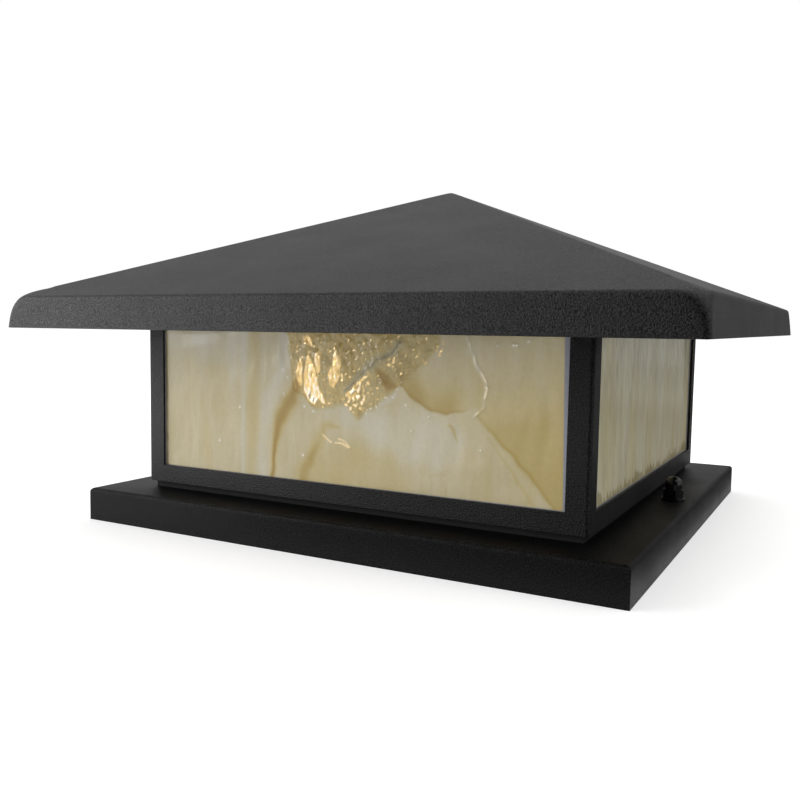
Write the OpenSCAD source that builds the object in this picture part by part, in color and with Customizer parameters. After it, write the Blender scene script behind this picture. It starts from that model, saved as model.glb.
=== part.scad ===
// Square lantern for the top of a deck or fence post.
// A welded steel window frame with four art-glass panes stands on a folded base tray.
// A folded pyramid roof drops over it and is held by a screw in each side.
// Inside, a lampholder on a bracket holds a screw-cap lamp, with a terminal block beside it.
// Origin: the middle of the post's top face. +Z is up and the front is -Y.

/* [Roof] */
// Width of the roof across the lower edge of its fascia
roof_w = 300; // [280:2:330]
// Pitch of the four slopes, in degrees
roof_pitch = 20.9; // [18:0.1:26]
// Height of the fascia
fascia_h = 14; // [11:0.5:20]
// How far the fascia leans out from its top to its bottom
fascia_flare = 1.2; // [0:0.1:3]
// Thickness of the roof's sheet
roof_t = 1.2; // [0.8:0.1:1.6]
// Outer radius of the fold between slope and fascia
roof_fold_r = 2; // [1.7:0.1:4]
// Radius that the lower end of each hip is ground to
hip_end_r = 18; // [8:0.5:18]
// Outer radius of the apex
apex_r = 5; // [2:0.5:10]
// Width of the four brackets inside the roof
roof_bracket_w = 40; // [28:1:60]
// Thickness of those brackets
roof_bracket_t = 1.5; // [1:0.1:2]
// Thickness of the foam pads that the roof rests on
pad_t = 3; // [2:0.5:5]

/* [Window frame] */
// Outer width of the square frame
body_w = 211; // [200:1:216]
// Height of the frame
body_h = 98; // [90:1:130]
// Thickness of the frame's sheet
frame_t = 1.2; // [1:0.1:1.6]
// Visible width of a corner post
post_w = 9; // [8:0.5:14]
// Visible height of a sill rail
sill_h = 8; // [8:0.5:14]
// Visible height of a head rail
head_h = 10; // [10:0.5:14]
// Width of the flange that each rail turns inwards
flange_w = 13.5; // [13:0.5:18]
// Thickness of the gasket under the frame
gasket_t = 3; // [0.5:0.1:4]
// How far the gasket stays back from the frame's face
gasket_in = 2.5; // [0.5:0.5:4]

/* [Panes] */
// Thickness of a glass pane
pane_t = 3; // [2:0.5:3.5]
// Thickness of the sealing tape in front of it
seal_t = 0.5; // [0.3:0.1:1]
// How far a pane reaches up behind its head rail
pane_lap = 2.5; // [1.5:0.5:3]
// Width of a pane clip
clip_w = 10; // [8:1:14]
// Thickness of a pane clip
clip_t = 0.8; // [0.6:0.1:1]
// Length of each leg of a pane clip
clip_leg = 12; // [10.5:0.5:14]
// Distance of the clips from the middle of a side
clip_at = 55; // [45:1:60]

/* [Base] */
// Width of the ledge that the base tray leaves on each side of the frame
ledge_w = 19.5; // [16:0.5:34]
// Height of the base tray
base_h = 15; // [13.5:0.5:25]
// Thickness of the tray's sheet
base_t = 1.2; // [1:0.1:1.6]
// Outer radius of the tray's folded edges
base_fold_r = 1.8; // [1.7:0.1:3]
// Thickness of the mounting strap
strap_t = 2; // [1.5:0.1:3]
// Width of the mounting strap
strap_w = 30; // [20:1:40]
// Distance of the post-screw slots from the middle
slot_at = 60; // [45:1:70]
// Length of a post-screw slot from end to end
slot_len = 20; // [10:1:24]
// Width of a post-screw slot
slot_w = 5.5; // [4.5:0.1:7]
// Radius of the cable hole in the strap
strap_hole_r = 12.5; // [8:0.5:14]
// Gap between the cable grommet's lip and the frame's back rail
grommet_gap = 4; // [2:0.5:8]
// Radius of the grommet's bore
cable_r = 4; // [3:0.1:5]
// Length of the grommet's bore
grommet_len = 5; // [4:0.5:7]

/* [Lampholder] */
// Clear height of the lamp bracket above the tray
bracket_h = 12; // [10:0.5:14]
// Thickness of the lamp bracket
bracket_t = 1.5; // [1:0.1:2]
// Half the length of the bracket's raised plate
bracket_half = 20; // [18:0.5:24]
// Width of the lamp bracket
bracket_w = 25; // [20:1:32]
// Outer radius of the lampholder's barrel
barrel_r = 22; // [21:0.5:24]
// Inner radius of the lampholder's screw shell
shell_r = 13.25; // [13.2:0.01:13.5]
// Radius of the lamp's screw cap
cap_r = 13.1; // [13:0.01:13.15]
// Radius of the lamp's globe
globe_r = 22.5; // [20:0.5:23]

/* [Hidden] */
$fn = 64;
touch = 0.3;
pair_gap = 0.05;
cut = 1;

// Screws and nuts: shank radius, head radius and height, nut width and height
m3_r = 1.5;
m3_head_r = 2.8;
m3_head_h = 1.8;
m4_r = 2;
m4_head_r = 4;
m4_head_h = 2.4;
m4_hole_r = 2.25;
m4_nut_w = 7;
m4_nut_h = 3.2;
m5_r = 2.5;
m5_hole_r = 2.8;
drive_r = 1.4;
drive_depth = 1.2;

// Heights, from the post's top face upwards
tray_under = base_h - base_t;
frame_z = base_h + gasket_t;
sill_top = frame_z + sill_h;
body_top = frame_z + body_h;
head_bottom = body_top - head_h;
pane_bottom = frame_z + frame_t + touch;
pane_top = head_bottom + pane_lap;

// Distances of the faces of one side from the middle
base_w = body_w + 2 * ledge_w;
face = body_w / 2;
face_in = face - frame_t;
pane_out = face_in - seal_t;
pane_in = pane_out - pane_t;
flange_in = face - flange_w;
window_half = face - post_w;
pane_corner_gap = 0.8;
pane_half = pane_in - pane_corner_gap;
pad_w = 8;
pad_arm = 40;

// The roof's two planes: a point at distance d from the middle lies under the slope at slope_z
flare = atan(fascia_flare / fascia_h);
roof_seat = body_top + pad_t + touch;
slope_drop = roof_t / cos(roof_pitch);
apex_z = roof_seat + slope_drop + face * tan(roof_pitch);
eaves_half = roof_w / 2;
fascia_top_half = eaves_half - fascia_flare;
fascia_top = apex_z - fascia_top_half * tan(roof_pitch);
eaves_z = fascia_top - fascia_h;

// Roof brackets and the side screws that hold them
bracket_out = face_in - touch;
bracket_in = bracket_out - roof_bracket_t;
bracket_reach = 16;
bracket_bottom = pane_top + 0.8;
notch_gap = 2;
side_screw_z = pane_top + 4;
side_screw_len = 10;
slot_gap = 0.3;
slot_lift = 0.4;

// Screws through the sill flange
body_screw_at = 80;
body_screw_in = face - 8.5;

// Studs, washers and cap nuts on the tray's two ledges
stud_x = face + ledge_w / 2;
stud_head_r = 4;
stud_head_h = 0.8;
stud_top = 8;
washer_r = 5;
washer_t = 1;
cap_nut_w = 8;
cap_nut_hex_h = 4;
cap_nut_h = 10;
cap_dome_r = 3.7;
cap_bore_depth = 7.6;
strap_clearance = 1.5;
strap_joggle = 10;
strap_tab_in = 10;
strap_end = base_w / 2 - base_t - strap_clearance;
strap_tab = stud_x - strap_tab_in;

// Cable grommet
grommet_wall = 3;
grommet_lip = 3;
grommet_r = cable_r + grommet_wall;
grommet_at = flange_in - grommet_gap - grommet_r - grommet_lip;

// Lamp bracket feet
foot_len = 18;
foot_screw_at = 10;
foot_half = bracket_half + foot_len;
foot_screw_x = bracket_half + foot_screw_at;
plate_z = base_h + bracket_h;
holder_z = plate_z + bracket_t;

// Lampholder, with heights above holder_z
nipple_r = 5;
nipple_bore_r = 3.6;
nipple_down = 5.5;
nipple_up = 7;
locknut_w = 14;
locknut_h = 3;
cap_base_r = 13;
cap_side_r = barrel_r - 2;
cap_thread_r = cap_side_r - 0.6;
cap_flare_h = 9;
cap_thread_z = 12;
cap_h = 18;
cap_floor = 5.5;
cap_cavity_r = cap_thread_r - 2.9;
insert_h = 6;
insert_top = cap_h + insert_h;
barrel_z = 12.3;
barrel_top = 49;
barrel_lip = 5;
barrel_lip_r = 14.8;
barrel_inner_r = 17;
shell_t = 0.6;
shell_top = barrel_top - 1;
shell_flange_r = 15.5;
contact_w = 5;
contact_stem_x = 7.5;
side_stem_x = 12;
stem_r = 1.5;
stem_bottom = cap_h - 2;

// Lamp, with heights above holder_z
tip_z = 27.3;
tip_r = 4.6;
tip_h = 1.2;
cap_z = 32.5;
cap_top = 52.5;
thread_pitch = 3.63;
thread_depth = 0.6;
thread_turns = 4;
thread_steps = 8;
housing_top = 72;
housing_r = 20.5;
housing_t = 1.5;
led_z = housing_top - 3;
led_r = 16;
led_t = 1.5;
globe_z = housing_top + 13;
globe_t = 1.2;

// Terminal block behind the lamp bracket
block_y = 50;
way_pitch = 9.5;
way_w = 7;
block_depth = 18;
block_h = 14;
way_h = 10;
tube_z = 6;
tube_r = 2.2;
tube_bore_r = 1.6;
terminal_r = 1.4;
terminal_at = 4.5;
terminal_top = 12.5;
ear_x = 18;
ear_t = 3;
pilot_r = 1.55;

// Earth screw and its ring tag
earth = [-40, 20];
tag_r = 4;
tag_t = 0.8;
tag_barrel_r = 1.8;
tag_barrel_len = 7;
tag_reach = 14;

// Internal leads: each route runs from the lampholder or the tag to its way in the block
lead_r = 1.1;
lead_sides = 8;
way_z = base_h + tube_z;
way_y = block_y - 3;
live_route = [
  [-contact_stem_x, 0, holder_z + stem_bottom - touch],
  [-contact_stem_x, 0, holder_z + 12.5],
  [-5.6, 0.3, holder_z + 10],
  [-2.6, 0.2, holder_z + 8.7],
  [-1.6, 0, holder_z + 5.5],
  [-1.5, 0, holder_z + 2],
  [-1.5, 0, holder_z - 2],
  [-1.5, 0.6, plate_z - 5],
  [-1.5, 4, base_h + 4],
  [-1.4, 10, base_h + 2.5],
  [-1.1, 18, base_h + 2.2],
  [-0.6, 26, base_h + 2.8],
  [-0.2, 33, way_z - 1.6],
  [0, 38.5, way_z - 0.2],
  [0, 42, way_z],
  [0, way_y, way_z]
];
neutral_route = [
  [side_stem_x, 0, holder_z + stem_bottom - touch],
  [side_stem_x, 0, holder_z + 12.5],
  [9, 0.3, holder_z + 10.2],
  [2.7, 0.2, holder_z + 8.7],
  [1.6, 0, holder_z + 5.5],
  [1.5, 0, holder_z + 2],
  [1.5, 0, holder_z - 2],
  [1.5, 0.6, plate_z - 5],
  [1.7, 4, base_h + 4],
  [2.4, 10, base_h + 2.5],
  [4, 18, base_h + 2.2],
  [6.2, 26, base_h + 2.8],
  [8.4, 33, way_z - 1.6],
  [way_pitch, 38.5, way_z - 0.2],
  [way_pitch, 42, way_z],
  [way_pitch, way_y, way_z]
];
earth_route = [
  [-way_pitch, way_y, way_z],
  [-way_pitch, 42, way_z],
  [-way_pitch, 38.5, way_z - 0.2],
  [-10.4, 35, way_z - 0.8],
  [-13, 32.2, way_z - 1.6],
  [-17, 31, way_z - 2.4],
  [-21.5, 32, way_z - 3],
  [-26, 35.5, way_z - 3.3],
  [-30.5, 40, way_z - 3.4],
  [-35, 42.6, way_z - 3.4],
  [-39, 41, base_h + tag_t + tag_barrel_r],
  [-40, 37.5, base_h + tag_t + tag_barrel_r],
  [-40, 33, base_h + tag_t + tag_barrel_r]
];

SIDES = ["front", "right", "back", "left"];

coat = "#232325";
zinc = "#b9bcc0";
brass = "#b08d4a";
glass = "#bdb08c";
tape = "#85878a";
rubber = "#1a1a1a";
phenolic = "#2a2320";
porcelain = "#e6e2d8";
lamp_white = "#f2f1ec";

// ---- Shapes that several pieces share ----

function unit(v) = v / norm(v);
function turned(v, a) = [v.x * cos(a) - v.y * sin(a), v.x * sin(a) + v.y * cos(a)];

// Points that round the corner at b, between a and c, with an arc of radius r
function rounded(a, b, c, r, steps = 6) =
  let (
    u = unit(a - b),
    v = unit(c - b),
    half = acos(u * v) / 2,
    centre = b + unit(u + v) * r / sin(half),
    spoke = b + u * r / tan(half) - centre,
    sweep = -(180 - 2 * half) * sign(u.x * v.y - u.y * v.x)
  )
  [for (i = [0:steps]) centre + turned(spoke, sweep * i / steps)];

// Height of the underside of the roof's sheet at distance d from the middle
function under_roof(d) = apex_z - slope_drop - d * tan(roof_pitch);

// A flat outline in X and Z, drawn out along Y about the middle
module along_y(length) {
  rotate([90, 0, 0]) linear_extrude(height = length, center = true) children();
}

// The same thing on each of the four sides
module on_sides() {
  for (side = [0:3])
    rotate([0, 0, 90 * side]) children();
}

module mirrored_x() {
  for (flip = [0, 1])
    mirror([flip, 0, 0]) children();
}

// A hexagon with two of its flats facing along Y
module hex_prism(width, height) {
  cylinder(r = width / 2 / cos(30), h = height, $fn = 6);
}

// A pan-head screw with its head's underside at the origin and its shank along -Z
module pan_screw(shank_r, shank_len, head_r, head_h) {
  edge = head_h * 0.4;
  difference() {
    rotate_extrude()
      polygon([
        [0, -shank_len], [shank_r, -shank_len], [shank_r, 0], [head_r, 0],
        [head_r, head_h - edge], [head_r - edge, head_h], [0, head_h]
      ]);
    for (angle = [0, 90])
      rotate([0, 0, angle])
        translate([-drive_r, -drive_r * 0.28, head_h - drive_depth])
          cube([2 * drive_r, drive_r * 0.56, drive_depth + cut]);
  }
}

// A tube of straight lengths with round ends, swept through the points of a route
module lead(route, side_way) {
  count = len(route);
  heading = [for (i = [0:count - 1]) unit(route[min(i + 1, count - 1)] - route[max(i - 1, 0)])];
  ring_points = [
    for (i = [0:count - 1])
      let (across = unit(cross(heading[i], side_way)), over = cross(heading[i], across))
      for (k = [0:lead_sides - 1])
        let (a = 360 * k / lead_sides)
        route[i] + lead_r * (cos(a) * across + sin(a) * over)
  ];
  walls = [
    for (i = [0:count - 2])
      for (k = [0:lead_sides - 1])
        let (a = i * lead_sides + k, b = i * lead_sides + (k + 1) % lead_sides)
        for (face_points = [[a, b, a + lead_sides], [b, b + lead_sides, a + lead_sides]])
          face_points
  ];
  first_end = [for (k = [0:lead_sides - 1]) lead_sides - 1 - k];
  last_end = [for (k = [0:lead_sides - 1]) (count - 1) * lead_sides + k];
  polyhedron(points = ring_points, faces = concat(walls, [first_end, last_end]), convexity = 6);
}

// ---- Base ----

// A strip whose ends are joggled up to the underside of the tray
module mounting_strap() {
  tab_bottom = tray_under - strap_t;
  color(zinc)
    difference() {
      along_y(strap_w)
        polygon([
          [-strap_end, tab_bottom], [-strap_tab, tab_bottom], [-strap_tab + strap_joggle, 0],
          [strap_tab - strap_joggle, 0], [strap_tab, tab_bottom], [strap_end, tab_bottom],
          [strap_end, tray_under], [strap_tab - 1, tray_under],
          [strap_tab - 1 - strap_joggle, strap_t], [-strap_tab + 1 + strap_joggle, strap_t],
          [-strap_tab + 1, tray_under], [-strap_end, tray_under]
        ]);
      translate([0, 0, -cut]) cylinder(r = strap_hole_r, h = strap_t + 2 * cut);
      mirrored_x() {
        translate([slot_at, 0, -cut]) post_slot(strap_t + 2 * cut);
        translate([stud_x, 0, tab_bottom - cut]) cylinder(r = m5_r + pair_gap, h = strap_t + 2 * cut);
      }
    }
}

module post_slot(depth) {
  end_x = (slot_len - slot_w) / 2;
  mirrored_x()
    translate([end_x, 0, 0]) cylinder(r = slot_w / 2, h = depth);
  translate([-end_x, -slot_w / 2, 0]) cube([2 * end_x, slot_w, depth]);
}

module strap_studs() {
  head_z = tray_under - strap_t - stud_head_h;
  color(zinc)
    mirrored_x()
      translate([stud_x, 0, 0]) {
        translate([0, 0, head_z]) cylinder(r = stud_head_r, h = stud_head_h);
        translate([0, 0, head_z]) cylinder(r = m5_r, h = base_h + stud_top - head_z);
      }
}

// Cross-section of the tray's outside, with its two folded edges, drawn in by an amount
module tray_outline(inset) {
  half = base_w / 2 - inset;
  top = base_h - inset;
  low = inset > 0 ? -cut : 0;
  r = base_fold_r - inset;
  polygon(concat(
    [[-half, low]],
    rounded([-half, low], [-half, top], [half, top], r, 5),
    rounded([-half, top], [half, top], [half, low], r, 5),
    [[half, low]]
  ));
}

module tray_solid(inset) {
  intersection() {
    along_y(base_w + cut) tray_outline(inset);
    rotate([0, 0, 90]) along_y(base_w + cut) tray_outline(inset);
  }
}

module base_tray() {
  hole_h = base_t + 2 * cut;
  color(coat)
    difference() {
      tray_solid(0);
      tray_solid(base_t);
      translate([0, 0, tray_under - cut]) {
        mirrored_x() {
          translate([stud_x, 0, 0]) cylinder(r = m5_hole_r, h = hole_h);
          translate([foot_screw_x, 0, 0]) cylinder(r = m4_hole_r, h = hole_h);
          translate([ear_x, block_y, 0]) cylinder(r = pilot_r, h = hole_h);
        }
        translate([0, grommet_at, 0]) cylinder(r = grommet_r, h = hole_h);
        translate([earth.x, earth.y, 0]) cylinder(r = m4_hole_r, h = hole_h);
        body_screw_places() cylinder(r = m4_hole_r, h = hole_h);
      }
    }
}

module stud_washers() {
  color(coat)
    mirrored_x()
      translate([stud_x, 0, base_h])
        difference() {
          cylinder(r = washer_r, h = washer_t);
          translate([0, 0, -cut]) cylinder(r = m5_hole_r, h = washer_t + 2 * cut);
        }
}

module cap_nuts() {
  color(coat)
    mirrored_x()
      translate([stud_x, 0, base_h + washer_t])
        difference() {
          union() {
            intersection() {
              hex_prism(cap_nut_w, cap_nut_hex_h);
              cylinder(r = cap_nut_w / 2 * 1.09, h = cap_nut_hex_h);
            }
            cylinder(r = cap_dome_r, h = cap_nut_h - cap_dome_r);
            translate([0, 0, cap_nut_h - cap_dome_r]) sphere(r = cap_dome_r);
          }
          translate([0, 0, -cut]) cylinder(r = m5_r + pair_gap, h = cap_bore_depth + cut);
        }
}

module cable_grommet() {
  seat_r = grommet_r - pair_gap;
  lip_r = grommet_r + grommet_lip;
  lip = (grommet_len - base_t) / 2;
  color(rubber)
    translate([0, grommet_at, tray_under - lip])
      rotate_extrude()
        polygon([
          [cable_r, 0], [lip_r - 1, 0], [lip_r, 1], [lip_r, lip], [seat_r, lip],
          [seat_r, lip + base_t], [lip_r, lip + base_t], [lip_r, grommet_len - 1],
          [lip_r - 1, grommet_len], [cable_r, grommet_len]
        ]);
}

// ---- Window frame ----

module body_screw_places() {
  on_sides()
    mirrored_x()
      translate([body_screw_at, -body_screw_in, 0]) children();
}

module clip_places() {
  on_sides()
    mirrored_x()
      translate([clip_at, -pane_in + clip_leg / 2, 0]) children();
}

module frame_gasket() {
  inner = flange_in + 0.5;
  outer = face - gasket_in;
  color(rubber)
    difference() {
      translate([-outer, -outer, base_h]) cube([2 * outer, 2 * outer, gasket_t]);
      translate([-inner, -inner, base_h - cut]) cube([2 * inner, 2 * inner, gasket_t + 2 * cut]);
      translate([0, 0, base_h - cut]) {
        body_screw_places() cylinder(r = m4_hole_r, h = gasket_t + 2 * cut);
        clip_places() cylinder(r = m4_r, h = gasket_t + 2 * cut);
      }
    }
}

// An angle folded from sheet, standing at the front left corner
module corner_post() {
  fold_r = frame_t + 0.3;
  color(coat)
    translate([-face, -face, frame_z])
      linear_extrude(height = body_h)
        difference() {
          union() {
            translate([fold_r, 0]) square([post_w - fold_r, frame_t]);
            translate([0, fold_r]) square([frame_t, post_w - fold_r]);
            intersection() {
              translate([fold_r, fold_r]) circle(r = fold_r);
              square(fold_r);
            }
          }
          translate([fold_r, fold_r]) circle(r = fold_r - frame_t);
        }
}

module post_front_left() { corner_post(); }
module post_front_right() { rotate([0, 0, 90]) corner_post(); }
module post_back_right() { rotate([0, 0, 180]) corner_post(); }
module post_back_left() { rotate([0, 0, 270]) corner_post(); }

// A flange with mitred ends, turned inwards from a rail on the front side
module rail_flange() {
  linear_extrude(height = frame_t)
    polygon([
      [-window_half, -face], [window_half, -face], [window_half, -window_half],
      [flange_in, -flange_in], [-flange_in, -flange_in], [-window_half, -window_half]
    ]);
}

module sill_rail() {
  color(coat)
    difference() {
      union() {
        translate([-window_half, -face, frame_z]) cube([2 * window_half, frame_t, sill_h]);
        translate([0, 0, frame_z]) rail_flange();
      }
      translate([0, 0, frame_z - cut]) {
        mirrored_x() {
          translate([body_screw_at, -body_screw_in, 0]) cylinder(r = m4_hole_r, h = frame_t + 2 * cut);
          translate([clip_at, -pane_in + clip_leg / 2, 0])
            cylinder(r = m3_r + pair_gap, h = frame_t + 2 * cut);
        }
      }
    }
}

module sill_front() { sill_rail(); }
module sill_right() { rotate([0, 0, 90]) sill_rail(); }
module sill_back() { rotate([0, 0, 180]) sill_rail(); }
module sill_left() { rotate([0, 0, 270]) sill_rail(); }

module head_rail() {
  notch_half = roof_bracket_w / 2 + notch_gap;
  color(coat)
    difference() {
      union() {
        translate([-window_half, -face, head_bottom]) cube([2 * window_half, frame_t, head_h]);
        translate([0, 0, body_top - frame_t]) rail_flange();
      }
      translate([-notch_half, -face_in, body_top - frame_t - cut])
        cube([2 * notch_half, flange_w, frame_t + 2 * cut]);
      translate([0, -face - cut, side_screw_z])
        rotate([-90, 0, 0]) cylinder(r = m4_hole_r, h = frame_t + 2 * cut);
      mirrored_x()
        translate([clip_at, -pane_in + clip_leg / 2, body_top - frame_t - cut])
          cylinder(r = m3_r + pair_gap, h = frame_t + 2 * cut);
    }
}

module head_front() { head_rail(); }
module head_right() { rotate([0, 0, 90]) head_rail(); }
module head_back() { rotate([0, 0, 180]) head_rail(); }
module head_left() { rotate([0, 0, 270]) head_rail(); }

module frame_screws() {
  color(zinc)
    body_screw_places()
      translate([0, 0, tray_under])
        rotate([180, 0, 0]) pan_screw(m4_r, frame_t + base_t + gasket_t + m4_nut_h + 0.6, m4_head_r, m4_head_h);
}

module m4_nut() {
  difference() {
    hex_prism(m4_nut_w, m4_nut_h);
    translate([0, 0, -cut]) cylinder(r = m4_r + pair_gap, h = m4_nut_h + 2 * cut);
  }
}

module m4_nuts() {
  color(zinc) {
    body_screw_places()
      translate([0, 0, frame_z + frame_t]) m4_nut();
    mirrored_x()
      translate([foot_screw_x, 0, tray_under - m4_nut_h]) m4_nut();
    translate([earth.x, earth.y, tray_under - m4_nut_h]) m4_nut();
    on_sides()
      translate([0, -bracket_in + touch, side_screw_z])
        rotate([-90, 0, 0]) m4_nut();
  }
}

// ---- Panes ----

module glass_pane() {
  color(glass)
    translate([-pane_half, -pane_out, pane_bottom])
      cube([2 * pane_half, pane_t, pane_top - pane_bottom]);
}

module pane_front() { glass_pane(); }
module pane_right() { rotate([0, 0, 90]) glass_pane(); }
module pane_back() { rotate([0, 0, 180]) glass_pane(); }
module pane_left() { rotate([0, 0, 270]) glass_pane(); }

// Tape round the window, between the frame and the glass
module pane_seal() {
  color(tape)
    translate([0, -face_in, 0])
      difference() {
        translate([-pane_half, 0, pane_bottom]) cube([2 * pane_half, seal_t, pane_top - pane_bottom]);
        translate([-window_half, -cut, sill_top])
          cube([2 * window_half, seal_t + 2 * cut, head_bottom - sill_top]);
      }
}

module pane_seals() { on_sides() pane_seal(); }

// An angle with its foot on a rail's flange and its upright against the glass
module pane_clip() {
  difference() {
    translate([-clip_w / 2, -clip_leg / 2, 0])
      union() {
        cube([clip_w, clip_leg, clip_t]);
        cube([clip_w, clip_t, clip_leg]);
      }
    translate([0, 0, -cut]) cylinder(r = m3_r + pair_gap, h = clip_t + 2 * cut);
  }
}

module pane_clips() {
  color(zinc)
    clip_places() {
      translate([0, 0, frame_z + frame_t]) pane_clip();
      translate([0, 0, body_top - frame_t]) mirror([0, 0, 1]) pane_clip();
    }
}

module clip_screws() {
  length = clip_t + frame_t;
  color(zinc)
    clip_places() {
      translate([0, 0, frame_z + frame_t + clip_t])
        pan_screw(m3_r, length + gasket_t * 0.8, m3_head_r, m3_head_h);
      translate([0, 0, body_top - frame_t - clip_t])
        mirror([0, 0, 1]) pan_screw(m3_r, length, m3_head_r, m3_head_h);
    }
}

// ---- Roof ----

// Cross-section of the roof, drawn in by the sheet's thickness for its inside
module roof_outline(inset) {
  peak = apex_z - inset / cos(roof_pitch);
  side_in = inset / cos(flare);
  knee_x = (eaves_half - side_in - (peak - eaves_z) * tan(flare)) / (1 - tan(roof_pitch) * tan(flare));
  knee = [knee_x, peak - knee_x * tan(roof_pitch)];
  low = inset > 0 ? eaves_z - cut : eaves_z;
  foot = [eaves_half - side_in + (eaves_z - low) * tan(flare), low];
  fold = rounded(foot, knee, [0, peak], roof_fold_r - inset);
  other = [for (i = [len(fold) - 1:-1:0]) [-fold[i].x, fold[i].y]];
  top = rounded(knee, [0, peak], [-knee.x, knee.y], apex_r - inset);
  polygon(concat([foot], fold, top, other, [[-foot.x, foot.y]]));
}

// Cross-section from corner to corner, which rounds the lower end of each hip
module hip_outline(inset) {
  low = eaves_z - cut;
  reach = sqrt(2) * (eaves_half - inset);
  knee = [reach, fascia_top - inset];
  peak = [0, knee.y + reach * tan(roof_pitch) / sqrt(2)];
  hip_tilt = atan(tan(roof_pitch) / sqrt(2));
  end_r = min(hip_end_r, fascia_h * tan(45 + hip_tilt / 2));
  arc = rounded([reach, low], knee, peak, end_r - inset, 8);
  other = [for (i = [len(arc) - 1:-1:0]) [-arc[i].x, arc[i].y]];
  polygon(concat([[reach, low]], arc, [peak + [0, 1]], other, [[-reach, low]]));
}

module roof_solid(inset) {
  length = 2 * roof_w;
  intersection() {
    along_y(length) roof_outline(inset);
    rotate([0, 0, 90]) along_y(length) roof_outline(inset);
    rotate([0, 0, 45]) along_y(length) hip_outline(inset);
    rotate([0, 0, 135]) along_y(length) hip_outline(inset);
  }
}

// One slope with its fascia, mitred where it is welded to its neighbours along the hips
module roof_panel() {
  color(coat)
    intersection() {
      difference() {
        roof_solid(0);
        roof_solid(roof_t);
      }
      linear_extrude(2 * apex_z) polygon([[0, 0], [-roof_w, -roof_w], [roof_w, -roof_w]]);
    }
}

module roof_front() { roof_panel(); }
module roof_right() { rotate([0, 0, 90]) roof_panel(); }
module roof_back() { rotate([0, 0, 180]) roof_panel(); }
module roof_left() { rotate([0, 0, 270]) roof_panel(); }

// An angle under each slope, with a slot that is open at the bottom for the side screw
module roof_bracket() {
  drop = roof_bracket_t / cos(roof_pitch);
  inner = bracket_out - bracket_reach;
  slot_r = m4_r + slot_gap;
  difference() {
    rotate([0, 0, 90])
      along_y(roof_bracket_w)
        polygon([
          [-bracket_out, bracket_bottom], [-bracket_out, under_roof(bracket_out)],
          [-inner, under_roof(inner)], [-inner, under_roof(inner) - drop],
          [-bracket_in, under_roof(bracket_in) - drop], [-bracket_in, bracket_bottom]
        ]);
    translate([0, -bracket_out - cut, side_screw_z + slot_lift])
      rotate([-90, 0, 0]) cylinder(r = slot_r, h = roof_bracket_t + 2 * cut);
    translate([-slot_r, -bracket_out - cut, bracket_bottom - cut])
      cube([2 * slot_r, roof_bracket_t + 2 * cut, side_screw_z + slot_lift - bracket_bottom + cut]);
  }
}

module roof_brackets() {
  color(zinc) on_sides() roof_bracket();
}

module roof_pads() {
  color(rubber)
    on_sides()
      translate([-face, -face, body_top]) {
        cube([pad_arm, pad_w, pad_t]);
        cube([pad_w, pad_arm, pad_t]);
      }
}

module roof_screws() {
  color(coat)
    on_sides()
      translate([0, -face, side_screw_z])
        rotate([90, 0, 0]) pan_screw(m4_r, side_screw_len, m4_head_r, m4_head_h);
}

// ---- Lampholder ----

module lamp_bracket() {
  out_x = bracket_half + bracket_t;
  color(zinc)
    difference() {
      along_y(bracket_w)
        polygon([
          [-foot_half, base_h], [-bracket_half, base_h], [-bracket_half, plate_z],
          [bracket_half, plate_z], [bracket_half, base_h], [foot_half, base_h],
          [foot_half, base_h + bracket_t], [out_x, base_h + bracket_t], [out_x, holder_z],
          [-out_x, holder_z], [-out_x, base_h + bracket_t], [-foot_half, base_h + bracket_t]
        ]);
      translate([0, 0, plate_z - cut]) cylinder(r = nipple_r + 0.1, h = bracket_t + 2 * cut);
      mirrored_x()
        translate([foot_screw_x, 0, base_h - cut]) cylinder(r = m4_hole_r, h = bracket_t + 2 * cut);
    }
}

module tray_screws() {
  length = bracket_t + base_t + m4_nut_h + 0.6;
  color(zinc) {
    mirrored_x()
      translate([foot_screw_x, 0, base_h + bracket_t]) pan_screw(m4_r, length, m4_head_r, m4_head_h);
    translate([earth.x, earth.y, base_h + tag_t]) pan_screw(m4_r, length, m4_head_r, m4_head_h);
  }
}

module holder_nipple() {
  color(zinc)
    translate([0, 0, plate_z - nipple_down])
      difference() {
        cylinder(r = nipple_r - pair_gap, h = nipple_down + bracket_t + nipple_up);
        translate([0, 0, -cut])
          cylinder(r = nipple_bore_r, h = nipple_down + bracket_t + nipple_up + 2 * cut);
      }
}

module holder_locknut() {
  color(zinc)
    translate([0, 0, plate_z - locknut_h])
      difference() {
        hex_prism(locknut_w, locknut_h);
        translate([0, 0, -cut]) cylinder(r = nipple_r, h = locknut_h + 2 * cut);
      }
}

module holder_cap() {
  color(phenolic)
    translate([0, 0, holder_z])
      rotate_extrude()
        polygon([
          [nipple_r, 0], [cap_base_r, 0], [cap_side_r - 2, cap_flare_h - 4],
          [cap_side_r, cap_flare_h], [cap_side_r, cap_thread_z], [cap_thread_r, cap_thread_z],
          [cap_thread_r, cap_h], [cap_cavity_r, cap_h], [cap_cavity_r, cap_floor + 3],
          [cap_cavity_r - 5, cap_floor], [nipple_r, cap_floor]
        ]);
}

module holder_insert() {
  color(porcelain)
    translate([0, 0, holder_z + cap_h])
      difference() {
        cylinder(r = cap_thread_r - 0.4, h = insert_h);
        translate([-contact_stem_x, 0, -cut]) cylinder(r = stem_r + pair_gap, h = insert_h + 2 * cut);
        translate([side_stem_x, 0, -cut]) cylinder(r = stem_r + pair_gap, h = insert_h + 2 * cut);
      }
}

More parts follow.
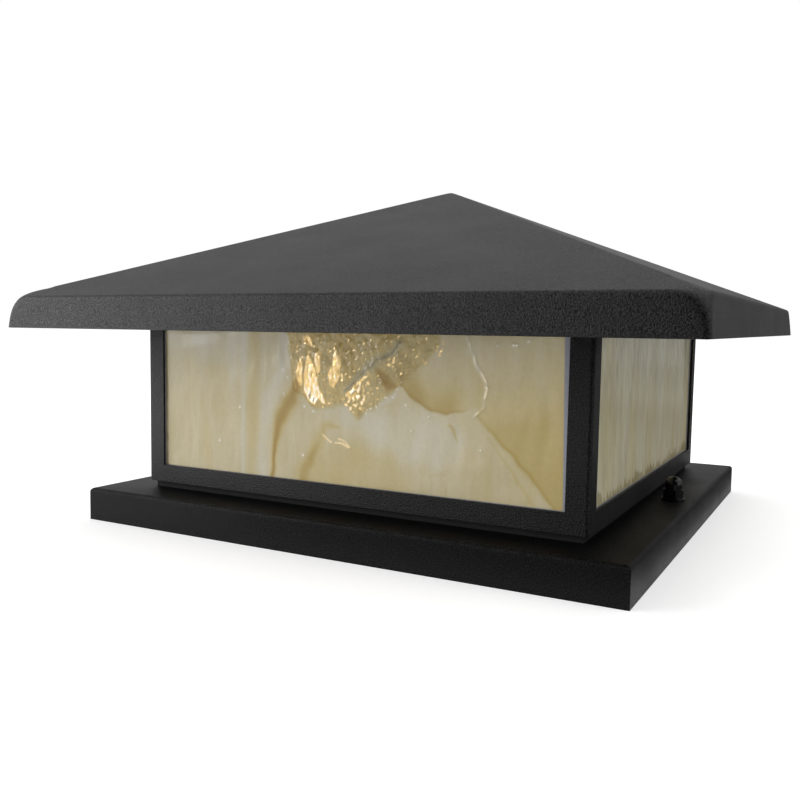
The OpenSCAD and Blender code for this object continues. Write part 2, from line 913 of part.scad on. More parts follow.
module holder_barrel() {
  color(phenolic)
    translate([0, 0, holder_z])
      rotate_extrude()
        polygon([
          [cap_thread_r + 0.1, barrel_z], [barrel_r, barrel_z], [barrel_r, barrel_top - 1.5],
          [barrel_r - 1.5, barrel_top], [barrel_lip_r, barrel_top], [barrel_lip_r, barrel_top - barrel_lip],
          [barrel_inner_r, barrel_top - barrel_lip - 2], [barrel_inner_r, insert_top],
          [cap_thread_r + 0.1, insert_top]
        ]);
}

module screw_shell() {
  color(brass)
    translate([0, 0, holder_z + insert_top])
      rotate_extrude()
        polygon([
          [shell_r, 0], [shell_flange_r, 0], [shell_flange_r, shell_t], [shell_r + shell_t, shell_t],
          [shell_r + shell_t, shell_top - insert_top], [shell_r, shell_top - insert_top]
        ]);
}

// A leaf that rises to the lamp's tip, with its rivet through the insert
module centre_contact() {
  leaf_t = 0.6;
  low = insert_top;
  high = tip_z - touch;
  color(brass)
    translate([0, 0, holder_z]) {
      along_y(contact_w)
        polygon([
          [-contact_stem_x - 2, low], [-4, low], [1, high - leaf_t], [4, high - leaf_t],
          [4, high], [0.8, high], [-4.2, low + leaf_t], [-contact_stem_x - 2, low + leaf_t]
        ]);
      translate([-contact_stem_x, 0, stem_bottom]) cylinder(r = stem_r, h = low - stem_bottom);
    }
}

module side_contact() {
  color(brass)
    translate([side_stem_x, 0, holder_z + stem_bottom])
      cylinder(r = stem_r, h = insert_top - stem_bottom);
}

// ---- Lamp ----

function thread_r(z) = cap_r - thread_depth / 2 + thread_depth / 2 * cos(360 * z / thread_pitch);

module lamp_cap() {
  wall = 0.5;
  skirt = (cap_top - cap_z - thread_turns * thread_pitch) / 2;
  steps = thread_turns * thread_steps;
  wave = [
    for (i = [0:steps])
      let (z = i * thread_pitch / thread_steps)
      [thread_r(z), cap_z + skirt + z]
  ];
  inside_r = cap_r - thread_depth - wall;
  color(zinc)
    translate([0, 0, holder_z])
      rotate_extrude()
        polygon(concat(
          [[inside_r, cap_z], [cap_r - thread_depth, cap_z]], wave,
          [[cap_r, cap_top], [inside_r, cap_top]]
        ));
}

module lamp_insulator() {
  color(rubber)
    translate([0, 0, holder_z])
      rotate_extrude()
        polygon([
          [0, tip_z + tip_h], [tip_r + 0.6, tip_z + tip_h], [cap_r - 1.2, cap_z],
          [cap_r - 1.2, cap_z + 2], [0, cap_z + 2]
        ]);
}

module lamp_tip() {
  color(brass)
    translate([0, 0, holder_z + tip_z])
      rotate_extrude()
        polygon([[0, 0], [tip_r - 1, 0], [tip_r, 0.5], [tip_r, tip_h], [0, tip_h]]);
}

module lamp_housing() {
  spigot_r = cap_r - thread_depth - 0.6;
  color(lamp_white)
    translate([0, 0, holder_z])
      rotate_extrude()
        polygon([
          [spigot_r - housing_t, cap_top - 4], [spigot_r, cap_top - 4], [spigot_r, cap_top],
          [cap_r + 0.4, cap_top], [cap_r + 0.9, cap_top + 4], [housing_r - 2, housing_top - 6],
          [housing_r, housing_top - 2], [housing_r, housing_top], [led_r + 1.5, housing_top],
          [led_r + 1.5, led_z], [led_r - 1.5, led_z], [led_r - 3, led_z - 4],
          [spigot_r - housing_t, cap_top + 4]
        ]);
}

module led_board() {
  chip = 2.8;
  chip_h = 0.7;
  color("white")
    translate([0, 0, holder_z + led_z]) {
      cylinder(r = led_r, h = led_t);
      for (i = [0:7])
        rotate([0, 0, 45 * i])
          translate([led_r - 5 - chip / 2, -chip / 2, led_t - 0.1]) cube([chip, chip, chip_h]);
    }
}

module lamp_globe() {
  low = housing_top + touch;
  color(lamp_white)
    translate([0, 0, holder_z])
      difference() {
        translate([0, 0, globe_z]) sphere(r = globe_r);
        translate([0, 0, globe_z]) sphere(r = globe_r - globe_t);
        translate([-globe_r - cut, -globe_r - cut, globe_z - globe_r - cut])
          cube([2 * (globe_r + cut), 2 * (globe_r + cut), low - globe_z + globe_r + cut]);
      }
}

// ---- Terminal block and leads ----

module terminal_block() {
  color(lamp_white)
    translate([0, block_y, base_h])
      difference() {
        union() {
          translate([-ear_x - 4, -4.5, 0]) cube([2 * ear_x + 8, 9, ear_t]);
          for (way = [-1:1])
            translate([way * way_pitch, 0, 0]) {
              translate([-way_w / 2, -block_depth / 2, 0]) cube([way_w, block_depth, way_h]);
              for (end = [-1, 1])
                translate([0, end * terminal_at, 0]) cylinder(r = way_w / 2 - 0.3, h = block_h);
            }
        }
        for (way = [-1:1])
          translate([way * way_pitch, 0, 0]) {
            translate([0, 0, tube_z])
              rotate([90, 0, 0]) cylinder(r = tube_r + pair_gap, h = block_depth + 2 * cut, center = true);
            for (end = [-1, 1])
              translate([0, end * terminal_at, tube_z])
                cylinder(r = terminal_r + 0.3, h = block_h);
          }
        mirrored_x()
          translate([ear_x, 0, -cut]) cylinder(r = m3_r + 0.2, h = ear_t + 2 * cut);
      }
}

module terminal_tubes() {
  color(brass)
    for (way = [-1:1])
      translate([way * way_pitch, block_y, way_z])
        difference() {
          rotate([90, 0, 0]) cylinder(r = tube_r, h = block_depth - 2, center = true);
          rotate([90, 0, 0]) cylinder(r = tube_bore_r, h = block_depth, center = true);
          for (end = [-1, 1])
            translate([0, end * terminal_at, 0]) cylinder(r = terminal_r + pair_gap, h = tube_r + cut);
        }
}

module terminal_screws() {
  bottom = way_z + lead_r + 0.1;
  color(zinc)
    for (way = [-1:1])
      for (end = [-1, 1])
        translate([way * way_pitch, block_y + end * terminal_at, bottom])
          difference() {
            cylinder(r = terminal_r, h = base_h + terminal_top - bottom);
            translate([-terminal_r - cut, -0.25, base_h + terminal_top - bottom - 0.9])
              cube([2 * (terminal_r + cut), 0.5, 0.9 + cut]);
          }
}

module block_screws() {
  color(zinc)
    mirrored_x()
      translate([ear_x, block_y, base_h + ear_t]) pan_screw(m3_r, ear_t + base_t + 1.5, m3_head_r, m3_head_h);
}

module earth_tag() {
  neck_w = 4;
  color(zinc)
    translate([earth.x, earth.y, base_h])
      difference() {
        union() {
          cylinder(r = tag_r, h = tag_t);
          translate([-neck_w / 2, 0, 0]) cube([neck_w, tag_reach - tag_barrel_len + 1, tag_t]);
          translate([0, tag_reach, tag_t + tag_barrel_r])
            rotate([90, 0, 0]) cylinder(r = tag_barrel_r, h = tag_barrel_len);
          translate([-neck_w / 2, tag_reach - tag_barrel_len, 0]) cube([neck_w, tag_barrel_len, tag_t + 0.5]);
        }
        translate([0, 0, -cut]) cylinder(r = m4_hole_r, h = tag_t + 2 * cut);
        translate([0, tag_reach + cut, tag_t + tag_barrel_r])
          rotate([90, 0, 0]) cylinder(r = lead_r + 0.2, h = tag_barrel_len + 2 * cut);
      }
}

module lead_live() {
  color("#6b4326") lead(live_route, [1, 0, 0.01]);
}

module lead_neutral() {
  color("#2f6fae") lead(neutral_route, [1, 0, 0.01]);
}

module lead_earth() {
  color("#4f9a3a") lead(earth_route, [0, 0, 1]);
}

mounting_strap();
strap_studs();
base_tray();
stud_washers();
cap_nuts();
cable_grommet();
frame_gasket();
post_front_left();
post_front_right();
post_back_right();
post_back_left();
sill_front();
sill_right();
sill_back();
sill_left();
head_front();
head_right();
head_back();
head_left();
frame_screws();
m4_nuts();
pane_front();
pane_right();
pane_back();
pane_left();
pane_seals();
pane_clips();
clip_screws();
roof_front();
roof_right();
roof_back();
roof_left();
roof_brackets();
roof_pads();
roof_screws();
lamp_bracket();
tray_screws();
holder_nipple();
holder_locknut();
holder_cap();
holder_insert();
holder_barrel();
screw_shell();
centre_contact();
side_contact();
lamp_cap();
lamp_insulator();
lamp_tip();
lamp_housing();
led_board();
lamp_globe();
terminal_block();
terminal_tubes();
terminal_screws();
block_screws();
earth_tag();
lead_live();
lead_neutral();
lead_earth();
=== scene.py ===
import math

import bmesh
import bpy
import numpy as np
from mathutils import Matrix, Vector, noise


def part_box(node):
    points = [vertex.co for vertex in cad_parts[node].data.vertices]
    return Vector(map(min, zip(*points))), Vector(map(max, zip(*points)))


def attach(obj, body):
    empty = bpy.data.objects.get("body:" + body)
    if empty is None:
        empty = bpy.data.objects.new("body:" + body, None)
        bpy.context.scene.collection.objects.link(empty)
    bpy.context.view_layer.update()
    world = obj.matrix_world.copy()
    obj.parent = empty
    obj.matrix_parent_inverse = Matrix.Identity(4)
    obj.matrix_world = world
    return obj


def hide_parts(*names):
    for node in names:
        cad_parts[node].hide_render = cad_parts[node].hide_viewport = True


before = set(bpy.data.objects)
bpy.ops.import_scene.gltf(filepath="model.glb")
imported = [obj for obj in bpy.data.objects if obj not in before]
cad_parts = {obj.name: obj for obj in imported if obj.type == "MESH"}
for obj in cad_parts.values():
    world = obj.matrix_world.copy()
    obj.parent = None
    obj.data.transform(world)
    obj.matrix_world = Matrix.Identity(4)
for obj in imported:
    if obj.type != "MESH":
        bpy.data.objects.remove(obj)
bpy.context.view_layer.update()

# ---- Camera ----
# It stands to the right of the front, level with the eaves and a little under half a metre away.
# The view is shifted sideways, because the lantern isn't in the middle of the picture.
scene = bpy.context.scene
lens = bpy.data.cameras.new("camera")
lens.lens = 39.16
lens.sensor_width = 36
lens.shift_x = 0.0569
lens.clip_start = 0.01
camera = bpy.data.objects.new("camera", lens)
scene.collection.objects.link(camera)
stand = (0.1873, -0.4126, 0.0927)
turn_left, tip_down, roll = math.radians(30.32), math.radians(4.887), math.radians(0.673)
camera.matrix_world = (
    Matrix.Translation(stand)
    @ Matrix.Rotation(turn_left, 4, "Z")
    @ Matrix.Rotation(math.pi / 2 - tip_down, 4, "X")
    @ Matrix.Rotation(roll, 4, "Z")
)
scene.camera = camera
scene.view_settings.view_transform = "Standard"


# ---- Studio floor and room ----
# White paper laid under the lantern, which keeps its shadow, in an even pale room.
# Rays that the camera, a gloss or a glass sends out see the paper and the room as white.
def srgb(code):
    """A hex colour such as "8a8d90" as linear red, green, blue and alpha."""
    channels = [int(code[i : i + 2], 16) / 255 for i in (0, 2, 4)]
    return [c / 12.92 if c <= 0.04045 else ((c + 0.055) / 1.055) ** 2.4 for c in channels] + [1.0]


def add(tree, kind, inputs=(), **settings):
    """Adds a node with its settings. Each input takes a value, or the socket that feeds it."""
    node = tree.nodes.new("ShaderNode" + kind)
    for name, value in settings.items():
        setattr(node, name, value)
    for socket, value in dict(inputs).items():
        if isinstance(value, bpy.types.NodeSocket):
            tree.links.new(value, node.inputs[socket])
        else:
            node.inputs[socket].default_value = value
    return node


def seen_directly(tree):
    """1 for rays from the camera, off a gloss or through a glass, and 0 for the rest."""
    path = add(tree, "LightPath").outputs
    seen = path["Is Camera Ray"]
    for ray in ("Is Glossy Ray", "Is Transmission Ray"):
        seen = add(tree, "Math", {0: seen, 1: path[ray]}, operation="MAXIMUM").outputs[0]
    return seen


paper = bpy.data.materials.new("white_paper")
paper.use_nodes = True
tree = paper.node_tree
tree.nodes.clear()
fibre = add(tree, "BsdfDiffuse", {"Color": srgb("e6e6e6")})
brightener = add(tree, "Emission", {"Strength": 0.45})
lifted = add(tree, "MixShader", {0: seen_directly(tree), 2: brightener.outputs[0]})
both = add(tree, "AddShader", {0: fibre.outputs[0], 1: lifted.outputs[0]})
add(tree, "OutputMaterial", {"Surface": both.outputs[0]})

floor_radius = 12  # metres, so that its rim is far out of sight
bm = bmesh.new()
bmesh.ops.create_circle(bm, cap_ends=True, radius=floor_radius, segments=64)
mesh = bpy.data.meshes.new("floor")
bm.to_mesh(mesh)
bm.free()
mesh.materials.append(paper)
floor = bpy.data.objects.new("floor", mesh)
scene.collection.objects.link(floor)

room = bpy.data.worlds.new("room")
scene.world = room
room.use_nodes = True
tree = room.node_tree
tree.nodes.clear()
fill = add(tree, "Background", {"Color": srgb("ffffff"), "Strength": 0.8})
white = add(tree, "Background", {"Color": srgb("ffffff"), "Strength": 1.0})
mixed = add(tree, "MixShader", {0: seen_directly(tree), 1: fill.outputs[0], 2: white.outputs[0]})
add(tree, "OutputWorld", {"Surface": mixed.outputs[0]})


# ---- Lamps and cards ----
# A large soft window of light stands to the left of the front, with weaker ones above and right.
# Black and grey cards stand where the gloss would mirror the pale room. Only reflections meet them.
def soft_light(name, place, aim, width, height, power, mirrored):
    """A rectangular soft box that faces a point, and shows in gloss if it is mirrored."""
    light = bpy.data.lights.new(name, "AREA")
    light.shape = "RECTANGLE"
    light.size, light.size_y, light.energy = width, height, power
    box = bpy.data.objects.new(name, light)
    box.location = place
    box.rotation_euler = (Vector(aim) - Vector(place)).to_track_quat("-Z", "Y").to_euler()
    box.visible_glossy = mirrored
    scene.collection.objects.link(box)


soft_light("window_light", (-1.35, -1.05, 0.55), (0, 0, 0.1), 1.1, 1.0, 15, True)
soft_light("top_light", (-0.3, 0.5, 1.9), (0, 0, 0.1), 1.6, 1.2, 10, False)
soft_light("right_light", (1.5, 0.35, 1.3), (0, 0, 0.1), 0.8, 0.8, 5, False)


def card(name, tone, place, aim, width, height):
    """A card of an even tone, from 0 for black to 1 for white, that only reflections meet."""
    surface = bpy.data.materials.new(name)
    surface.use_nodes = True
    surface.node_tree.nodes.clear()
    even = add(surface.node_tree, "Emission", {"Strength": tone})
    add(surface.node_tree, "OutputMaterial", {"Surface": even.outputs[0]})
    bm = bmesh.new()
    bmesh.ops.create_grid(bm, x_segments=1, y_segments=1, size=0.5)
    bmesh.ops.scale(bm, vec=(width, height, 1), verts=bm.verts)
    facing = (Vector(aim) - Vector(place)).to_track_quat("-Z", "Y").to_matrix().to_4x4()
    bmesh.ops.transform(bm, matrix=Matrix.Translation(place) @ facing, verts=bm.verts)
    mesh = bpy.data.meshes.new(name)
    bm.to_mesh(mesh)
    bm.free()
    mesh.materials.append(surface)
    sheet_of_card = bpy.data.objects.new(name, mesh)
    sheet_of_card.visible_camera = sheet_of_card.visible_diffuse = sheet_of_card.visible_shadow = False
    scene.collection.objects.link(sheet_of_card)


card("card_in_front", 0.0, (0.75, -1.3, 0.55), (0.1, 0, 0.1), 2.4, 1.7)
card("card_on_floor_in_front", 0.0, (0.7, -0.85, 0.002), (0.7, -0.85, 1), 1.5, 1.43)
card("card_behind_right", 0.32, (0.9, 1.7, 0.5), (0.1, 0, 0.5), 2.8, 1.4)
card("card_on_floor_right", 0.05, (1.08, 0.24, 0.002), (1.08, 0.24, 1), 1.9, 0.68)
card("card_on_floor_behind_right", 0.2, (1.08, 1.37, 0.002), (1.08, 1.37, 1), 1.9, 1.3)
card("card_on_floor_beside_right", 0.1, (1.08, 0.65, 0.002), (1.08, 0.65, 1), 1.9, 0.14)
card("card_behind_left", 0.7, (-0.85, 1.25, 0.95), (0, 0, 0.1), 2.4, 1.5)


# ---- Roof ----
# A shallow pyramid of 1.2 mm steel with a flared fascia folded down round it. Its four panels are
# welded along the hips, ground until no seam shows, and powder coated. Grinding has taken the
# corners off on a slant, and the sheet is very slightly uneven. It hangs on four side screws.
MM = 0.001


def finish_of(name, **sockets):
    """A new material, its node tree and its shader, with these values on the shader's sockets."""
    material = bpy.data.materials.new(name)
    material.use_nodes = True
    shader = material.node_tree.nodes["Principled BSDF"]
    for socket, value in sockets.items():
        shader.inputs[socket.replace("_", " ")].default_value = value
    return material, material.node_tree, shader


def feed(tree, shader, **sockets):
    """Links sockets to the shader's inputs of these names."""
    for socket, value in sockets.items():
        tree.links.new(value, shader.inputs[socket.replace("_", " ")])


def span(tree, value, low, high, to_low, to_high):
    """A value between two limits, carried over to two others."""
    limits = {"Value": value, "From Min": low, "From Max": high, "To Min": to_low, "To Max": to_high}
    return add(tree, "MapRange", limits).outputs[0]


def mix(tree, share, first, second):
    """A colour between two others."""
    return add(tree, "Mix", {0: share, 6: first, 7: second}, data_type="RGBA").outputs[2]


def lumps(tree, place, size, detail):
    """Noise with lumps of this many mm, mostly between 0.3 and 0.7."""
    inputs = {"Vector": place, "Scale": 1 / (size * MM), "Detail": detail}
    return add(tree, "TexNoise", inputs).outputs["Fac"]


def powder_coat(name, grain_depth, wave_depth, rough, sheen, grain_size=0.5):
    """Black polyester powder: satin, sanded, slightly wavy, with a few grains of dust.

    The real grain is 0.1 to 0.3 mm. It is drawn coarser, so that it shows at this distance.
    """
    wave_size, dust_apart = 28, 13
    coat, tree, shader = finish_of(name)
    place = add(tree, "TexCoord").outputs["Object"]
    grain = span(tree, lumps(tree, place, grain_size, 2), 0.35, 0.65, 0, 1)
    cloud = lumps(tree, place, wave_size, 2)
    shade = mix(tree, grain, srgb("000000"), srgb("101011"))
    specks = add(tree, "TexVoronoi", {"Vector": place, "Scale": 1 / (dust_apart * MM)}).outputs["Distance"]
    dusty = mix(tree, span(tree, specks, 0.026, 0.014, 0, 0.5), shade, srgb("76777a"))
    wave = add(tree, "Bump", {"Height": cloud, "Distance": wave_depth * MM}).outputs[0]
    sand = add(tree, "Bump", {"Height": grain, "Distance": grain_depth * MM, "Normal": wave}).outputs[0]
    gloss = span(tree, cloud, 0.3, 0.7, *rough)
    glint = span(tree, grain, 0, 1, sheen * 0.6, sheen * 1.5)
    feed(tree, shader, Base_Color=dusty, Roughness=gloss, Specular_IOR_Level=glint, Normal=sand)
    return coat


# Even satin black. The slopes take a soft grey from the sky, and the fascia fades to the right.
roof_coat = powder_coat(
    "smooth_black_powder_coat", grain_depth=0.07, wave_depth=0.15, rough=(0.44, 0.48), sheen=0.3
)

roof_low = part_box("roof_front")[0] / MM
roof_half, roof_foot_z = -roof_low.y, roof_low.z
fascia_high, fascia_lean = 14.0, 1.2
roof_fold_z, roof_fold_half = roof_foot_z + fascia_high, roof_half - fascia_lean
roof_pitch, roof_flare = math.radians(20.9), math.atan(fascia_lean / fascia_high)
roof_peak_z = roof_fold_z + roof_fold_half * math.tan(roof_pitch)
peak_off_centre = 1.4
sheet = 1.2
# How far the edges between the faces are softened, and the square of the round at the peak
hip_blend, fold_blend, side_blend, corner_blend = 1.2, 1.2, 1.8, 1.8
peak_round = 0.6


def smooth_max(a, b, blend):
    """The larger of two distances, with the edge between them rounded off."""
    overlap = np.maximum(blend - np.abs(a - b), 0)
    return np.maximum(a, b) + overlap * overlap / (4 * blend)


def ground_corner(reach, z):
    """Distance outside the round that ends each hip, in the plane through two corners."""
    radius, centre_reach, centre_z = 19.5, 192.6, 89.5
    out, up = reach - centre_reach, z - centre_z
    return np.where(out > 0, np.hypot(out, np.maximum(up, 0)), up + out) - radius


def above_roof(x, y, z, uneven):
    """Roughly the distance outside the roof's outer skin, and below 0 inside it."""
    x = x - peak_off_centre * (1 - np.maximum(np.abs(x), np.abs(y)) / roof_half)
    far_x, far_y = np.sqrt(x * x + peak_round), np.sqrt(y * y + peak_round)
    slope = smooth_max(far_x, far_y, hip_blend) * math.sin(roof_pitch)
    slope += (z - roof_peak_z) * math.cos(roof_pitch)
    side = smooth_max(np.abs(x), np.abs(y), side_blend) - roof_half
    side = side * math.cos(roof_flare) + (z - roof_foot_z) * math.sin(roof_flare)
    skin = smooth_max(slope, side, fold_blend)
    corner = ground_corner((np.abs(x) + np.abs(y)) / math.sqrt(2), z)
    return smooth_max(skin, corner, corner_blend) + uneven


def roof_rows():
    """Half-widths and heights of the rows of the mesh, from peak to foot, closest where it bends."""
    out = [0, 0.8, 1.6, 2.6, 4, 6, 9, 13] + list(range(19, 133, 6))
    out += [135, 137.5, 139.5, 141.2, 142.7, 144, 145.1, 146]
    out += [146.8, 147.4, 147.9, 148.3, 148.6, roof_fold_half]
    rows = [(w, roof_peak_z - w * math.tan(roof_pitch)) for w in out]
    down = [0.3, 0.7, 1.1, 1.6, 2.2, 3, 4, 5.2, 6.6, 8.2, 10, 12, fascia_high]
    return rows + [(roof_fold_half + d * math.tan(roof_flare), roof_fold_z - d) for d in down]


def unevenness(x, y, z):
    """How far the sheet lies in from its true plane: long waves, which fade out at the foot."""
    wave_wide, wave_high, deepest, fade = 55, 40, 0.12, 3
    wave = [noise.noise((a / wave_wide, b / wave_wide, c / wave_high)) for a, b, c in zip(x, y, z)]
    return deepest * (0.5 + 0.5 * np.array(wave)) * np.clip((z - roof_foot_z) / fade, 0, 1)


def between(x, y, z, share):
    """Places on the lines from the roof's inside, at 0, to some points, at 1."""
    start = 0.6
    reach = start + (1 - start) * share
    return x * reach, y * reach, roof_foot_z + (z - roof_foot_z) * share


def on_skin(x, y, z):
    """Moves points along those lines, halving the step each time, until they lie on the skin."""
    halvings, well_outside = 40, 1.2
    uneven = unevenness(x, y, z)
    near, far = np.zeros_like(x), np.full_like(x, well_outside)
    for _ in range(halvings):
        middle = (near + far) / 2
        outside = above_roof(*between(x, y, z, middle), uneven) > 0
        near, far = np.where(outside, near, middle), np.where(outside, middle, far)
    return np.stack(between(x, y, z, near), axis=1)


def roof_mesh():
    """Four grids, laid over the slopes and the fascia, joined at the hips and thickened inwards."""
    rows, columns, crowding, weld_gap = roof_rows(), 96, 1.8, 0.004
    bm = bmesh.new()
    for turn in range(4):
        made = bmesh.ops.create_grid(bm, x_segments=columns, y_segments=len(rows) - 1, size=1)["verts"]
        grid = np.array([v.co for v in made])
        step = np.rint((1 - grid[:, 1]) / 2 * (len(rows) - 1)).astype(int)
        half, z = np.array(rows)[step].T
        across = np.sign(grid[:, 0]) * (1 - (1 - np.abs(grid[:, 0])) ** crowding)
        x, y = across * half, -half
        for _ in range(turn):
            x, y = -y, x
        for vert, co in zip(made, on_skin(x, y, z) * MM):
            vert.co = co
    bmesh.ops.remove_doubles(bm, verts=bm.verts, dist=weld_gap * MM)
    bmesh.ops.recalc_face_normals(bm, faces=bm.faces)
    if sum(f.normal.z for f in bm.faces) < 0:
        bmesh.ops.reverse_faces(bm, faces=bm.faces)
    bmesh.ops.solidify(bm, geom=bm.faces[:], thickness=sheet * MM)
    mesh = bpy.data.meshes.new("roof_pyramid")
    bm.to_mesh(mesh)
    bm.free()
    mesh.shade_smooth()
    mesh.set_sharp_from_angle(angle=math.radians(40))
    return mesh


roof_skin = bpy.data.objects.new("roof_pyramid", roof_mesh())
roof_skin.data.materials.append(roof_coat)
scene.collection.objects.link(roof_skin)
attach(roof_skin, "roof")
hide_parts("roof_front", "roof_right", "roof_back", "roof_left")


# ---- Glass panes ----
# Rolled art glass 3 mm thick: cream, with milky clouds and amber veins. The front pane also has a
# hammered gold patch and raised ridges. Each pane lies on tape and is held by clips from inside.
# The veins and pools of the front pane are listed in mm along the pane and above the post.
pane_box_low, pane_box_high = (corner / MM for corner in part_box("pane_front"))
pane_half, pane_low, pane_high = pane_box_high.x, pane_box_low.z, pane_box_high.z
pane_face, pane_thick = -pane_box_low.y, pane_box_high.y - pane_box_low.y
window_half, window_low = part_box("sill_front")[1].x / MM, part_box("sill_front")[1].z / MM
window_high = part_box("head_front")[0].z / MM


def from_line(a, z, points):
    """Distance from a line through some points, and how far along it the nearest spot is."""
    lengths = [math.dist(p, q) for p, q in zip(points, points[1:])]
    nearest, along, done = np.full_like(a, 1e9), np.zeros_like(a), 0.0
    for (pa, pz), (qa, qz), length in zip(points, points[1:], lengths):
        share = np.clip(((a - pa) * (qa - pa) + (z - pz) * (qz - pz)) / length**2, 0, 1)
        gap = np.hypot(a - pa - share * (qa - pa), z - pz - share * (qz - pz))
        along = np.where(gap < nearest, (done + share * length) / sum(lengths), along)
        nearest = np.minimum(gap, nearest)
        done += length
    return nearest, along


def eased(value):
    """A value held between 0 and 1, with a soft start and end."""
    value = np.clip(value, 0, 1)
    return value * value * (3 - 2 * value)


def vein(a, z, points, *widths):
    """1 on a line through the points and 0 outside its width, which changes along it."""
    gap, along = from_line(a, z, points)
    return eased(1 - gap / np.interp(along, np.linspace(0, 1, len(widths)), widths))


def pool(a, z, points, soft):
    """1 inside a closed outline and 0 outside, with an edge this soft."""
    inside = np.zeros(a.shape, bool)
    for (pa, pz), (qa, qz) in zip(points, points[1:] + points[:1]):
        crosses = (pz > z) != (qz > z)
        inside ^= crosses & (a < pa + (z - pz) * (qa - pa) / (qz - pz if qz != pz else 1))
    gap, _ = from_line(a, z, points + points[:1])
    return eased(0.5 + np.where(inside, gap, -gap) / (2 * soft))


def wander(a, z, size, seed):
    """A smooth random field, mostly between -1 and 1, with lumps of this size."""
    waves = 14
    dice = np.random.default_rng(seed)
    total = np.zeros_like(a)
    for _ in range(waves):
        turn, shift = dice.uniform(0, 2 * math.pi, 2)
        wave = dice.uniform(0.6, 1.5) * math.pi / size
        total += np.sin((a * math.cos(turn) + z * math.sin(turn)) * wave + shift)
    return total / math.sqrt(waves)


# Outline of the gold patch, and the lines along the bay, the sail and the ridge of the front pane
brow = [(-30, 110), (-24, 66), (-13, 57), (3, 60), (8, 54), (20, 62), (27, 69), (44, 83), (48, 110)]
shore = [(27, 69.4), (34.8, 63.1), (40.8, 59.8), (48.8, 58.6), (56.3, 60.3)]
edge = [(61, 58.5), (66, 53), (72.4, 46.8), (82.5, 36.4), (90.6, 27.9), (94, 24)]
ridge = [(28, 86.4), (25, 82.9), (18.1, 79.3), (11.4, 74.4), (6, 69.5), (2.5, 65.7)]


def front_amber(a, z, patch):
    """Faint streaks, a trunk with a branch, a bay beside the patch, and a sail on the right."""
    amber = 0.2 * vein(a, z, [(-45, 110), (-45.5, 60), (-45.8, 20)], 5, 6, 4)
    amber += 0.2 * vein(a, z, [(-75.5, 66), (-73.6, 48), (-71, 32), (-69, 20)], 0.5, 4, 5, 3)
    trunk = [(-21.2, 71), (-22.6, 66.5), (-25, 60.5), (-29.4, 55), (-31.7, 49.5), (-33, 43)]
    amber += 0.85 * vein(a, z, trunk + [(-34.1, 34), (-34.8, 20)], 0.6, 5, 7, 6, 4.4, 3, 2.4, 2, 1.6)
    branch = [(-1.7, 50), (-6, 50.6), (-8.2, 50), (-10.1, 44.3), (-14.6, 37), (-18.2, 32), (-21, 22)]
    amber += 0.45 * vein(a, z, branch, 1.4, 4, 5, 5, 5, 6, 7)
    amber += 0.3 * pool(a, z, [(-14, 36), (-2, 45), (24, 41), (33, 31), (30, 18), (-22, 18)], 5)
    amber += 0.5 * patch
    above = pool(a, z, shore + [(62.6, 63), (64.2, 69.4), (59, 79), (54, 92), (20, 92)], 0.5)
    to_shore, _ = from_line(a, z, shore)
    bay = 0.55 * eased(1 - to_shore / 20) * eased((63 - a) / 14)
    bay += 0.22 * vein(a, z, [(57, 80), (61, 72), (60, 64)], 3, 5, 4)
    amber += above * (1 - 0.8 * patch) * (bay + 0.2 * vein(a, z, shore, 1, 2.2, 2.4, 2, 0.6))
    sail = pool(a, z, edge + [(110, 20), (110, 100), (62, 100)], 0.6)
    amber += sail * (0.1 + 0.4 * eased((a * 0.4 + 56 - z) / 34))
    amber += 0.15 * vein(a, z, edge, 1.5, 2.4, 2.4, 2.2, 2, 1.2)
    amber += 0.3 * vein(a, z, [(65, 51), (72.6, 42.3), (79, 33.8), (84, 27)], 0.6, 1, 1.1, 0.8)
    amber += 0.5 * vein(a, z, [(49.3, 54.7), (51.9, 50.2), (53, 48)], 1.2, 0.9, 0.5)
    amber += 0.25 * vein(a, z, [(40.7, 34.2), (48.5, 34.6)], 0.5, 0.6)
    amber += 0.25 * vein(a, z, [(49, 29), (48.6, 22)], 0.7, 0.9)
    return amber + 0.14 * (1 - sail) * np.clip(wander(a * 1.6, z * 0.5, 16, 3), 0, 1)


def front_milk(a, z):
    """White clouds: one under the patch, upright drifts on the left, and two near the top corners."""
    milk = 0.12 * wander(a * 1.5, z * 0.35, 9, 4)
    milk += 0.8 * pool(a, z, [(-5, 57), (25, 59), (30, 64), (48, 56), (58, 49), (46, 36), (19, 42)], 7)
    drift = [(-28.4, 88), (-29.9, 73), (-37, 60), (-39.5, 42), (-39.8, 20)]
    milk += 0.8 * vein(a, z, drift, 5, 5, 7, 6, 5)
    milk += 0.7 * vein(a, z, [(-51, 110), (-50, 80), (-50.5, 50), (-51, 20)], 3.5, 4, 3, 2)
    milk += 0.6 * pool(a, z, [(-97, 110), (-97, 84), (-62, 74), (-50, 78), (-50, 110)], 8)
    milk += 0.6 * pool(a, z, [(84, 74.2), (88, 71.6), (91.9, 66.2), (91.7, 59.9), (86.5, 65.9)], 4)
    return 0.6 * np.clip(milk, 0, 1)


def front_shade(a, z, patch, smooth):
    """Dark lines along the ridge, the bay and the sail, darker mottling in the patch, and painted shade at
    the left frame.
    """
    shade = 0.3 * smooth + 0.3 * vein(a, z, ridge, 0.6, 0.9, 0.9, 0.7, 0.5, 0.5)
    shade += patch * np.clip(0.04 + 0.1 * wander(a, z * 0.6, 2.4, 5) + 0.06 * wander(a, z, 0.9, 6), 0, 0.3)
    # Painted shade: a dark band along the pane's left edge, where the frame's reveal shades the glass.
    shade += 0.7 * eased((1.6 - a - window_half) / 1.1)
    shade += 0.16 * vein(a, z, shore, 0.4, 0.9, 0.9, 0.4) + 0.12 * vein(a, z, edge, 0.5, 1, 1, 0.5)
    return shade


